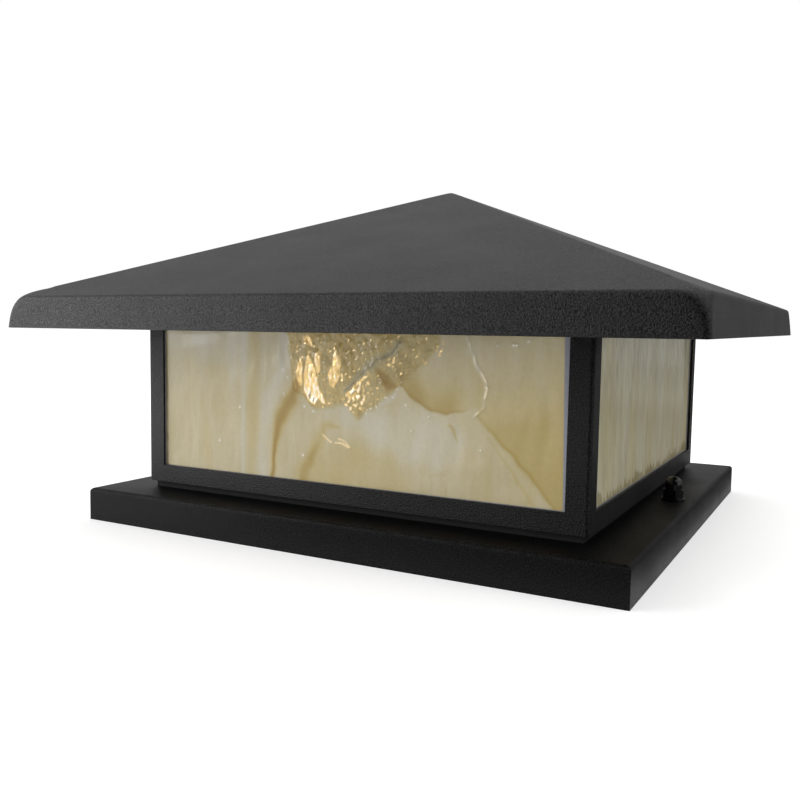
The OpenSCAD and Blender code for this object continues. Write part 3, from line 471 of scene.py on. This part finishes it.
def front_flames(a, z):
    """The brightest gold, painted as glints off hammered lustre: tall flames in the left half of the patch.
    """
    tall = [(-16.8, 81.9), (-13.2, 75), (-10.6, 65.8), (-7, 59.7), (-9.1, 60.1), (-11.4, 61.9)]
    tall += [(-13.1, 59.4), (-15.3, 60.5), (-18.1, 63.5), (-18.8, 67.4), (-17.8, 74.8)]
    flames = pool(a, z, tall, 0.45) * (0.72 + 0.25 * eased((72 - z) / 10))
    upper = [(-10.7, 82.5), (-9.7, 80.3), (-10.3, 73.6), (-11.9, 72.1), (-12.9, 76.4), (-12.8, 80.2)]
    narrow = [(-20.3, 78.9), (-19.1, 76.7), (-19, 72.3), (-19.9, 66.9)]
    narrow += [(-21.1, 67.1), (-22.1, 71.2), (-22, 75.9)]
    right = [(-2.2, 82.9), (-1.4, 80.5), (-0.2, 76.4), (-0.2, 71.6), (-3.9, 66.7)]
    right += [(-5.6, 68), (-6.7, 71.8), (-5.2, 75.7), (-4, 79.6)]
    top = [(-18.3, 88.2), (-15.1, 87.5), (-13.9, 85.6), (-14.6, 83.7), (-17.1, 84.8), (-18.5, 86)]
    for strength, outline, soft in (
        (0.75, upper, 0.4),
        (0.68, narrow, 0.5),
        (0.7, right, 0.5),
        (0.8, top, 0.6),
    ):
        flames = np.maximum(flames, strength * pool(a, z, outline, soft))
    flames = np.maximum(flames, vein(a, z, [(0.7, 72.4), (0.6, 70.2)], 0.7, 0.9))
    return np.maximum(flames, vein(a, z, [(-5.9, 81.7), (-3.2, 82.9)], 0.5, 0.7))


def front_glitter(a, z, patch, facets):
    """Small gold facets, painted bright as sparkles of light: a blister right of the flames, the glass
    round it, and stray flecks.
    """
    blister = [(11.4, 72), (11.2, 70.6), (9.6, 67.7), (8.8, 65.3)]
    blister += [(6.6, 62.8), (3.9, 62.5), (2.9, 64.6), (6.8, 69)]
    glitter = pool(a, z, blister, 0.5) * np.clip(0.75 + 0.5 * facets, 0, 1)
    around = pool(a, z, [(3, 66), (13, 76), (14, 68), (11, 59), (5, 56), (1, 61)], 1.5)
    glitter = np.maximum(glitter, around * eased(1.8 * facets - 0.3))
    for fleck in ([(21, 79), (25, 81), (26, 78), (22, 75)], [(43, 87), (46, 88), (46.8, 82), (44, 80)]):
        glitter = np.maximum(glitter, 0.9 * pool(a, z, fleck, 1) * eased(facets))
    glitter = np.maximum(glitter, 0.9 * vein(a, z, [(16.9, 77.9), (18.2, 79.4)], 0.5, 0.6))
    return np.maximum(glitter, patch * eased(2 * (wander(a, z, 1.2, 16) - 1.3)))


def front_crease(a, z, facets):
    """A pale crease and a pale fold low in the patch."""
    crease = [(28.3, 70.9), (25.3, 67.5), (24.5, 64.7), (21.7, 63.6), (18, 61.1), (12.7, 58.2), (11.6, 56)]
    pale = 0.9 * vein(a, z, crease, 1.4, 1.8, 2.2, 2.8, 2.6, 2.2, 1.2) * (0.8 + 0.3 * facets)
    return np.maximum(pale, 0.6 * pool(a, z, [(9.3, 66.8), (13.6, 71.2), (20, 67.3), (12.6, 61.3)], 1.5))


def front_thread(a, z):
    """A pale thread of glass that hangs right of the patch."""
    curve = [(54.6, 91), (57.4, 86.3), (60.1, 79.1), (63.7, 72.3), (64.7, 69.4), (63.6, 63.2), (59.6, 57.8)]
    thread = vein(a, z, curve, 0.5, 0.6, 0.8, 0.8, 1.0, 1.1, 0.8)
    return thread * (0.7 + 0.3 * np.clip(wander(a, z, 2.2, 15), -1, 1))


def front_dashes(a, z):
    """Three short, bright dashes below the patch."""
    dashes = vein(a, z, [(-8.8, 46.6), (-4.1, 44.1)], 0.8, 0.9)
    dashes = np.maximum(dashes, vein(a, z, [(-2.4, 43.9), (1, 43.4), (4.4, 41.8)], 0.7, 1, 0.9))
    return np.maximum(dashes, vein(a, z, [(-1.4, 45.4), (2.6, 44.4), (4.6, 42.4)], 0.6, 0.7, 0.7))


def front_glinting_beads(a, z):
    """Bubbles and grains: a little raised, and painted near white as glints of light."""
    pips = [(2, 79.5), (2.8, 81.4), (8.5, 85.3), (12.2, 83.5), (11.1, 81.9), (-28.9, 73.3)]
    pips += [(-26.8, 69.8), (-29.4, 62.7), (-28.6, 61.4), (-13.8, 55.9), (-18.3, 57.8), (12.4, 58)]
    pips += [(30.4, 61.5), (40.2, 57.5), (28.5, 73.4), (-8, 73.4), (-8.4, 77.3), (68.6, 86)]
    pips += [(74.7, 86.2), (76, 86.1), (80.5, 87.8), (59.9, 80), (64.3, 69.4), (-52.8, 55.9)]
    pips += [(-64.2, 39.7), (62.8, 45.7), (-18.7, 37.1), (33, 51)]
    return np.clip(1.3 * sum(np.exp(-((a - pa) ** 2 + (z - pz) ** 2) / 0.4) for pa, pz in pips), 0, 1)


def front_ripples(a, z):
    """A fan of fine ripples that spreads up and right from one spot: its extent and its crests."""
    spot_a, spot_z = 15, 70
    away = np.hypot(a - spot_a, z - spot_z)
    bearing = np.degrees(np.arctan2(z - spot_z, a - spot_a))
    fan = eased((away - 6) / 3) * eased((23 - away) / 7)
    fan = fan * eased((bearing + 2) / 10) * eased((62 - bearing) / 12)
    return fan, fan * np.sin(np.radians(bearing * 60 + 30 * wander(a, z, 6, 14)))


def front_glass(a, z):
    """Amber, milk, shade and gold of the front pane, from 0 to 1, and its height in mm."""
    a = a + 0.35 * wander(a, z, 5, 1)
    z = z + 0.35 * wander(a, z, 5, 2)
    patch = pool(a, z, brow, 1.2)
    smooth = vein(a, z, ridge, 2, 2.6, 3.2, 3.4, 3.2, 2.2)
    hollow = pool(a, z, [(15.6, 76.6), (20.6, 73.6), (25.4, 69), (22.2, 67.2), (18.2, 70.8)], 1.4)
    fan, ripples = front_ripples(a, z)
    thread, dashes, glinting_beads = front_thread(a, z), front_dashes(a, z), front_glinting_beads(a, z)
    hammered, facets = wander(a * 1.3, z * 0.55, 1.3, 7), wander(a, z, 1.2, 8)
    flames = front_flames(a, z) * np.clip(1 + 0.3 * hammered, 0.4, 1.3)
    glitter = front_glitter(a, z, patch, facets)

    amber = front_amber(a, z, patch) * (1 - 0.6 * smooth) + 0.5 * hollow
    shade = front_shade(a, z, patch, smooth) + 0.1 * hollow + 0.12 * fan * (1 - ripples)
    pale = np.maximum(front_crease(a, z, facets), 1.25 * thread)
    pale = np.maximum(pale, dashes * np.clip(1.4 + 0.4 * facets, 0, 1.4))
    milk = np.maximum(front_milk(a, z) * (1 - 0.8 * patch), pale)
    milk = np.maximum(milk, np.maximum(0.5 * ripples, glinting_beads))
    gold = np.maximum(np.maximum(flames, glitter), 0.5 * np.maximum(0.6 * thread, dashes))
    gold = np.maximum(gold, patch * np.clip(0.15 + 0.07 * hammered - a / 600, 0, 0.4) * (1 - hollow))
    gold = gold * (1 - 0.8 * smooth)

    height = -0.12 * wander(a, z, 17, 9) - 0.03 * wander(a * 1.3, z * 0.4, 5, 10)
    height += patch * (0.1 * wander(a, z * 0.75, 2.6, 11) + 0.04 * wander(a, z, 1.2, 12) + 0.1)
    height += flames * (0.2 * hammered + 0.12) + 0.12 * glitter * facets + 0.15 * glinting_beads
    below_ridge = [(p + 2, q - 1.6) for p, q in ridge[2:]]
    height += 0.06 * ripples + 0.2 * vein(a, z, below_ridge, 1.6, 1.6, 1.6, 1)
    return amber, milk, shade, gold, height + 0.2 * thread + 0.16 * dashes


def right_glass(a, z):
    """The same of the right pane: calm, drawn up in faint reeds, olive along its foot, with painted shade
    at the top.
    """
    warp = 0.6 * wander(a, z * 0.3, 6, 21)
    amber = 0.16 + 0.08 * wander(a * 1.2, z * 0.25, 14, 22) + 0.05 * wander(a, z * 0.12, 3, 23)
    amber += 0.2 * vein(a, z, [(60, 110), (64, 70), (58, 18)], 4, 7, 5)
    milk = 0.15 + 0.15 * wander(a * 1.3, z * 0.2, 7, 24)
    shore = 29 + 1.6 * wander(a, a * 0, 7, 29) + 1.6 * wander(a, a * 0, 2.6, 30)
    band = eased((shore - z) / 1.2)
    runs = np.clip(wander(a + warp, z * 0.14, 1.3, 25), -0.3, 1) * (0.08 + 0.16 * eased((z - 55) / 30))
    # Painted shade: the last two terms darken the pane towards its top, most in a strip just under the head
    # rail.
    shade = 0.06 + runs + 0.45 * band + 0.16 * eased((z - 62) / 35) + 0.2 * eased((z - 98) / 3)
    height = 0.012 * wander(a + warp, z * 0.05, 1.9, 26) + 0.07 * wander(a, z * 0.4, 13, 27)
    return amber + 0.2 * band, milk * (1 - band), shade, np.zeros_like(a), height - 0.05 * band


def hidden_glass(seed):
    """A pane cut from the same sheet, for a side that the picture doesn't show."""

    def pattern(a, z):
        drift = 9 * wander(a, z * 0.5, 26, seed) + 1.5 * wander(a, z, 6, seed + 1)
        fold = np.abs(wander(a + drift, z * 0.3 + drift, 44, seed + 2))
        amber = 0.5 * eased(1 - fold / 0.3) + 0.5 * eased(wander(a + drift, z * 0.4, 34, seed + 3) - 0.2)
        milk = np.clip(0.25 + 0.4 * wander(a + drift, z * 0.35, 18, seed + 4), 0, 0.6)
        patch = eased(2.2 * (wander(a, z, 30, seed + 5) - 0.75))
        gold = patch * np.clip(0.12 + 0.16 * wander(a * 1.3, z * 0.55, 1.8, seed + 6), 0.04, 0.5)
        amber += 0.3 * patch
        height = 0.12 * wander(a, z, 15, seed + 7) + 0.05 * wander(a * 1.3, z * 0.4, 5, seed + 8)
        height += patch * (0.24 * wander(a, z * 0.7, 2.8, seed + 9) + 0.1)
        return amber, milk, 0.1 * patch, gold, height

    return pattern


def art_glass(name, light, dark, rough):
    """Cream glass with a wet, wavering gloss and fine streaks, and gold that flashes.

    Its colours follow the amber, milk, shade and gold that are painted on the pane.
    The strongest gold and the palest milk are painted highlights, and part of the shade is painted shade.
    """
    glass, tree, shader = finish_of(name, IOR=1.52, Specular_IOR_Level=0.4)
    place = add(tree, "TexCoord").outputs["Object"]
    paint = add(tree, "Attribute", attribute_name="glass_paint")
    parts = add(tree, "SeparateColor", {0: paint.outputs["Color"]}).outputs
    gold = paint.outputs["Alpha"]
    drawn = add(tree, "Mapping", {"Vector": place, "Scale": (1, 1, 0.16)}).outputs[0]
    streak = add(tree, "TexNoise", {"Vector": drawn, "Scale": 1 / (5 * MM), "Detail": 5, "Distortion": 0.8})
    streak = streak.outputs["Fac"]
    mottle = lumps(tree, place, 1.6, 4)
    cream = mix(tree, span(tree, streak, 0.3, 0.7, 0, 1), srgb(light), srgb(dark))
    milky = mix(tree, span(tree, parts[1], 0, 0.6, 0, 1), cream, srgb("c6c1ad"))
    honey = mix(tree, span(tree, parts[0], 0.4, 1, 0, 1), srgb("b9a76e"), srgb("9b7c38"))
    warm = mix(tree, span(tree, parts[0], 0, 0.6, 0, 1), milky, honey)
    # Shade darkens the glass: its own dark veins, and painted shade at the front pane's left edge and the
    # right pane's top.
    dim = mix(tree, span(tree, parts[2], 0, 1, 0, 0.85), warm, srgb("5d5436"))
    # The palest milk turns near white: pale glass in crease, thread and dashes, and painted glints on the
    # beads.
    glint = mix(tree, span(tree, parts[1], 0.7, 1, 0, 1), dim, srgb("f6ecd4"))
    # Gold is painted bright to stand in for glints off the hammered lustre, and near white where strongest:
    # painted highlights.
    lit = mix(tree, span(tree, gold, 0.1, 0.6, 0, 1), glint, srgb("fcd68c"))
    bright = mix(tree, span(tree, gold, 0.7, 1, 0, 1), lit, srgb("fff4d8"))
    speckled = mix(tree, span(tree, mottle, 0.35, 0.65, 0, 0.06), bright, srgb("6d6448"))
    lustre = span(tree, gold, 0.3, 0.8, 0, 0.35)
    gloss = span(tree, mottle, 0.3, 0.7, rough * 0.7, rough * 1.3)
    fine = add(tree, "Bump", {"Height": mottle, "Distance": 0.02 * MM}).outputs[0]
    soft = add(tree, "Bump", {"Height": streak, "Distance": 0.05 * MM, "Normal": fine}).outputs[0]
    feed(tree, shader, Base_Color=speckled, Metallic=lustre, Roughness=gloss, Normal=soft)
    return glass


def rolled_pane(side, quarter_turns, spacing, pattern, glass):
    """A slab whose outer face carries the pattern's relief, kept flat where it lies on the tape."""
    margin, rest_depth, deepest, fade = 0.3, 0.3, 0.9, 9
    columns, rows = round(2 * pane_half / spacing), round((pane_high - pane_low) / spacing)
    bm = bmesh.new()
    bmesh.ops.create_grid(bm, x_segments=columns, y_segments=rows, size=1)
    count = len(bm.verts)
    upright = Matrix.Rotation(math.pi / 2, 4, "X")
    bmesh.ops.scale(bm, vec=(pane_half, (pane_high - pane_low) / 2, 1), verts=bm.verts)
    bmesh.ops.transform(bm, matrix=upright, verts=bm.verts)
    bmesh.ops.translate(bm, vec=(0, -pane_face, (pane_high + pane_low) / 2), verts=bm.verts)
    rim = [e for e in bm.edges if e.is_boundary]
    walls = bmesh.ops.extrude_edge_only(bm, edges=rim)["geom"]
    back = [g for g in walls if isinstance(g, bmesh.types.BMVert)]
    bmesh.ops.translate(bm, vec=(0, pane_thick, 0), verts=back)
    bmesh.ops.contextual_create(bm, geom=[g for g in walls if isinstance(g, bmesh.types.BMEdge)])
    bmesh.ops.recalc_face_normals(bm, faces=bm.faces)
    mesh = bpy.data.meshes.new("pane_" + side)
    bm.to_mesh(mesh)
    bm.free()
    co = np.empty(len(mesh.vertices) * 3)
    mesh.vertices.foreach_get("co", co)
    co = co.reshape(-1, 3)
    a, z = co[:count, 0], co[:count, 2]
    amber, milk, shade, gold, height = pattern(a, z)
    inset = np.minimum(window_half - np.abs(a), np.minimum(z - window_low, window_high - z)) - margin
    co[:count, 1] += np.clip(rest_depth - height, 0, deepest) * eased(inset / fade)
    paint = np.zeros((len(co), 4))
    paint[:count] = np.stack([amber, milk, shade, gold], axis=1)
    for _ in range(quarter_turns):
        co = np.stack([-co[:, 1], co[:, 0], co[:, 2]], axis=1)
    mesh.vertices.foreach_set("co", (co * MM).ravel())
    layer = mesh.attributes.new("glass_paint", "FLOAT_COLOR", "POINT")
    layer.data.foreach_set("color", np.clip(paint, 0, 1).ravel())
    mesh.shade_smooth()
    mesh.set_sharp_from_angle(angle=math.radians(60))
    mesh.update()
    mesh.materials.append(glass)
    pane = bpy.data.objects.new("glass_" + side, mesh)
    scene.collection.objects.link(pane)
    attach(pane, "lantern")
    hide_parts("pane_" + side)


# The front, back and left panes are a warm cream, and the reeded right one is a paler, cooler cream.
rolled_glass = art_glass("rolled_art_glass", "c5b998", "bcb08c", 0.16)
reeded_glass = art_glass("reeded_art_glass", "e0dbc0", "d2cdac", 0.14)
rolled_pane("front", 0, 0.5, front_glass, rolled_glass)
rolled_pane("right", 1, 0.6, right_glass, reeded_glass)
rolled_pane("back", 2, 0.8, hidden_glass(40), rolled_glass)
rolled_pane("left", 3, 0.8, hidden_glass(60), rolled_glass)


# ---- Pane tapes ----
# Grey butyl tape, 0.5 mm thick, laid by hand on the back of each frame before the glass goes in.
# It isn't quite straight: at the front pane's right edge a wedge of it shows, and a thin strip of
# it shows at the near edge of the right pane.
tape_thick = 0.5


def moulded(name, light, dark, rough, grain_size, grain_depth, **sockets):
    """A moulded, cast or rolled piece in two close tones, with a fine skin. Sizes are in mm."""
    skin, tree, shader = finish_of(name, **sockets)
    grain = lumps(tree, add(tree, "TexCoord").outputs["Object"], grain_size, 3)
    gloss = span(tree, grain, 0, 1, rough * 0.8, rough * 1.2)
    bump = add(tree, "Bump", {"Height": grain, "Distance": grain_depth * MM}).outputs[0]
    feed(tree, shader, Base_Color=mix(tree, grain, srgb(dark), srgb(light)), Roughness=gloss, Normal=bump)
    return skin


def tape_frames(showing):
    """Four flat frames, one for each side.

    A side gives how far its tape shows, sideways and upright, at the bottom left and right corners
    and then at the top right and left ones.
    """
    first_width = 3
    bm = bmesh.new()
    for turn, (low_left, low_right, high_right, high_left) in enumerate(showing):
        made = bmesh.ops.create_grid(bm, x_segments=1, y_segments=1, size=1)["verts"]
        bmesh.ops.scale(bm, vec=(pane_half, (pane_high - pane_low) / 2, 1), verts=made)
        face = made[0].link_faces[0]
        bmesh.ops.inset_region(
            bm, faces=[face], thickness=first_width, use_boundary=True, use_even_offset=True
        )
        for vert in face.verts:
            right, top = vert.co.x > 0, vert.co.y > 0
            shown = (high_right if top else low_right) if right else (high_left if top else low_left)
            vert.co.x = (window_half - shown[0]) * (1 if right else -1)
            edge = window_high - shown[1] if top else window_low + shown[1]
            vert.co.y = edge - (pane_high + pane_low) / 2
        ring = {f for v in made for f in v.link_faces if f is not face}
        verts = {v for f in ring for v in f.verts}
        bmesh.ops.delete(bm, geom=[face], context="FACES_ONLY")
        raised = bmesh.ops.extrude_face_region(bm, geom=list(ring), use_keep_orig=True)["geom"]
        raised = {g for g in raised if isinstance(g, bmesh.types.BMVert)}
        bmesh.ops.translate(bm, vec=(0, 0, tape_thick), verts=list(raised))
        stand = (
            Matrix.Rotation(turn * math.pi / 2, 4, "Z")
            @ Matrix.Translation((0, -pane_face, (pane_high + pane_low) / 2))
            @ Matrix.Rotation(math.pi / 2, 4, "X")
        )
        bmesh.ops.transform(bm, matrix=stand, verts=list(verts | raised))
    bmesh.ops.scale(bm, vec=(MM, MM, MM), verts=bm.verts)
    bmesh.ops.recalc_face_normals(bm, faces=bm.faces)
    mesh = bpy.data.meshes.new("pane_tapes")
    bm.to_mesh(mesh)
    bm.free()
    return mesh


flush = (0.15, 0.1)
tapes = bpy.data.objects.new(
    "pane_tapes",
    tape_frames(
        [
            (flush, (1.1, 0.2), (2.6, 0.3), (0.15, 0.3)),
            ((1.4, 0.2), flush, flush, (1.2, 0.1)),
            (flush, (0.3, 0.1), (0.2, 0.2), flush),
            ((0.2, 0.1), flush, (0.3, 0.1), flush),
        ]
    ),
)
# A dull blue-grey that reads as a thin light strip between the black frame and the cream glass.
tapes.data.materials.append(moulded("grey_butyl_tape", "9698a0", "85878f", 0.55, 2.0, 0.02))
scene.collection.objects.link(tapes)
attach(tapes, "lantern")
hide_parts("pane_seals")


# ---- Mounting strap, studs and base tray ----
# The tray is folded from 1.2 mm steel and coated. A galvanised strip, joggled up to the tray, is
# screwed to the post, and two zinc-plated studs pressed into it carry the coated cap nuts.
def dress(name, material):
    """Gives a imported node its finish."""
    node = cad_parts[name].data
    node.materials.clear()
    node.materials.append(material)


def plated(name, light, dark, crystal_mm, low, high):
    """Zinc on steel: crystals that differ a little in tone and gloss."""
    zinc, tree, shader = finish_of(name, Metallic=1.0)
    place = add(tree, "TexCoord").outputs["Object"]
    crystals = add(tree, "TexVoronoi", {"Vector": place, "Scale": 1 / (crystal_mm * MM)}).outputs["Color"]
    cloud = add(tree, "TexNoise", {"Vector": place, "Scale": 0.4 / (crystal_mm * MM), "Detail": 4})
    tone = span(tree, mix(tree, 0.5, crystals, cloud.outputs["Color"]), 0.25, 0.75, 0, 1)
    gloss = span(tree, tone, 0, 1, low, high)
    feed(tree, shader, Base_Color=mix(tree, tone, srgb(dark), srgb(light)), Roughness=gloss)
    return zinc


# The frame's black: the same satin as the roof's, with a rougher, sandier sparkle.
sand_coat = powder_coat(
    "sanded_black_powder_coat", grain_depth=0.1, wave_depth=0.1, rough=(0.42, 0.5), sheen=0.34
)
# The tray's black: the frame's coat with far less sheen, standing in for the shade on the ledge under the
# frame, so that the frame stands out from it.
tray_coat = powder_coat(
    "shade_dulled_black_powder_coat", grain_depth=0.1, wave_depth=0.1, rough=(0.42, 0.5), sheen=0.12
)
# Wet-looking enamel that gives nuts and washers small, sharp glints.
nut_enamel = powder_coat(
    "glossy_black_enamel", grain_depth=0.02, wave_depth=0.05, rough=(0.2, 0.26), sheen=0.45, grain_size=0.55
)
# Cold, bright plating with a fine glitter on studs, screws, nuts and clips.
bright_zinc = plated("bright_zinc_plate", "d2d5d8", "b3b6ba", 1.2, 0.22, 0.34)
# A dull silver grey with large, soft crystals on strip.
galvanised = plated("galvanised_steel", "b9bdc0", "9a9ea2", 5.0, 0.36, 0.5)
dress("mounting_strap", galvanised)
dress("strap_studs", bright_zinc)
dress("base_tray", tray_coat)
dress("stud_washers", nut_enamel)
dress("cap_nuts", nut_enamel)


# ---- Cable grommet, frame gasket and roof pads ----
# Black rubber. A moulded grommet snaps into the cable's hole in the tray. The gasket is a cut frame
# of sheet, clamped between window frame and tray, and four foam pads are glued on the frame's corners.

# Matt and nearly black, with hardly any sheen: it reads as a dark line under the frame.
black_rubber = moulded("black_epdm_rubber", "1c1c1c", "101010", 0.75, 1.5, 0.03, Specular_IOR_Level=0.3)
for name in ("cable_grommet", "frame_gasket", "roof_pads"):
    dress(name, black_rubber)


# ---- Window frame ----
# Posts and rails folded from the same steel, welded into one square frame, ground and coated.
# It stands on the tray, held from below by zinc-plated screws; clips and nuts inside match them.
for name in ("front_left", "front_right", "back_right", "back_left"):
    dress("post_" + name, sand_coat)
for name in ("front", "right", "back", "left"):
    dress("sill_" + name, sand_coat)
    dress("head_" + name, sand_coat)
for name in ("frame_screws", "m4_nuts", "pane_clips", "clip_screws"):
    dress(name, bright_zinc)


# ---- Roof brackets and side screws ----
# Four angles of galvanised strip, welded under the slopes. Their slots, open at the bottom, sit over
# four coated pan-head screws in the frame, which are slackened to lift the roof off.
dress("roof_brackets", galvanised)
dress("roof_screws", sand_coat)


# ---- Lampholder ----
# A bracket of galvanised strip carries an ordinary E27 holder: black phenolic cap and barrel round
# a glazed porcelain insert, with a nickelled screw shell and two brass contacts.
dress("lamp_bracket", galvanised)
for name in ("tray_screws", "holder_nipple", "holder_locknut"):
    dress(name, bright_zinc)
# A warm brown-black with a dull shine, and a white glaze with sharp highlights inside it.
phenolic = moulded("moulded_black_phenolic", "211d1b", "171413", 0.3, 3.0, 0.03)
porcelain = moulded("glazed_porcelain", "ece8de", "e0dbcf", 0.12, 4.0, 0.04, Coat_Weight=0.5)
# A warm silver that mirrors its surroundings, blurred a little in patches.
nickel, tree, shader = finish_of("bright_nickel", Metallic=1.0, Base_Color=srgb("cbc6bb"))
rolling = lumps(tree, add(tree, "TexCoord").outputs["Object"], 2, 4)
feed(tree, shader, Roughness=span(tree, rolling, 0.3, 0.7, 0.14, 0.26))
# Yellow metal, browned and dulled in patches.
brass, tree, shader = finish_of("plain_brass", Metallic=1.0)
tarnish = lumps(tree, add(tree, "TexCoord").outputs["Object"], 3, 5)
tone = mix(tree, span(tree, tarnish, 0.35, 0.7, 0, 1), srgb("d9b66c"), srgb("a9843f"))
feed(tree, shader, Base_Color=tone, Roughness=span(tree, tarnish, 0.3, 0.7, 0.22, 0.42))
for name, material in (
    ("holder_cap", phenolic),
    ("holder_barrel", phenolic),
    ("holder_insert", porcelain),
    ("screw_shell", nickel),
    ("centre_contact", brass),
    ("side_contact", brass),
):
    dress(name, material)


# ---- Lamp ----
# A small LED globe: nickelled screw cap with a black glass insulator and a brass tip, a white
# moulded housing, a board with eight yellow chips, and a blown opal globe, frosted inside.
# Soft white plastic, a milky white that light sinks into for the globe, and shiny black glass.
white_plastic = moulded("white_moulded_plastic", "f1efe9", "e9e6de", 0.38, 2.0, 0.02)
opal = moulded("opal_globe_plastic", "f3f1ec", "eeebe3", 0.3, 6.0, 0.03, Subsurface_Weight=0.15)
black_glass = moulded("black_cap_glass", "17161a", "0c0c0e", 0.12, 3.0, 0.03)
# A white board. Whatever stands above its face is a chip, and is yellow.
chip_high, chip_edge = 0.5, 0.02
chip_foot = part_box("led_board")[1].z - chip_high * MM
board, tree, shader = finish_of("white_solder_mask", Roughness=0.4)
place = add(tree, "TexCoord").outputs["Object"]
height = add(tree, "SeparateXYZ", {0: place}).outputs[2]
on_chip = span(tree, height, chip_foot - chip_edge * MM, chip_foot + chip_edge * MM, 0, 1)
weave = lumps(tree, place, 1.0, 2)
mask = mix(tree, weave, srgb("eceeec"), srgb("e2e5e2"))
phosphor = mix(tree, weave, srgb("e8c94e"), srgb("dcb93a"))
feed(tree, shader, Base_Color=mix(tree, on_chip, mask, phosphor))
for name, material in (
    ("lamp_cap", nickel),
    ("lamp_insulator", black_glass),
    ("lamp_tip", brass),
    ("lamp_housing", white_plastic),
    ("led_board", board),
    ("lamp_globe", opal),
):
    dress(name, material)


# ---- Terminal block and leads ----
# A three-way block of natural polypropylene with brass tubes and plated screws, and soft PVC leads:
# brown and blue to the lampholder, and green with a yellow stripe to the earth tag on the tray.
# A milky white that light sinks into a little.
block_plastic = moulded(
    "natural_polypropylene", "dedbd0", "d3cfc2", 0.35, 2.0, 0.02, Subsurface_Weight=0.1
)
dress("terminal_block", block_plastic)
dress("terminal_tubes", brass)
for name in ("terminal_screws", "block_screws", "earth_tag"):
    dress(name, bright_zinc)
# Even, waxy colours that tell the leads apart. The green one has slanting yellow stripes.
dress("lead_live", moulded("brown_pvc", "5e3a22", "50301b", 0.35, 1.0, 0.01))
dress("lead_neutral", moulded("blue_pvc", "2f6fae", "265f9a", 0.35, 1.0, 0.01))
earth, tree, shader = finish_of("green_and_yellow_pvc", Roughness=0.35)
place = add(tree, "TexCoord").outputs["Object"]
winding = {"Vector": place, "Scale": 0.13 / MM, "Distortion": 0.6}
stripes = add(tree, "TexWave", winding, bands_direction="DIAGONAL").outputs["Fac"]
share = span(tree, stripes, 0.58, 0.66, 0, 1)
feed(tree, shader, Base_Color=mix(tree, share, srgb("3f8a35"), srgb("e3cf34")))
dress("lead_earth", earth)

bpy.context.view_layer.update()
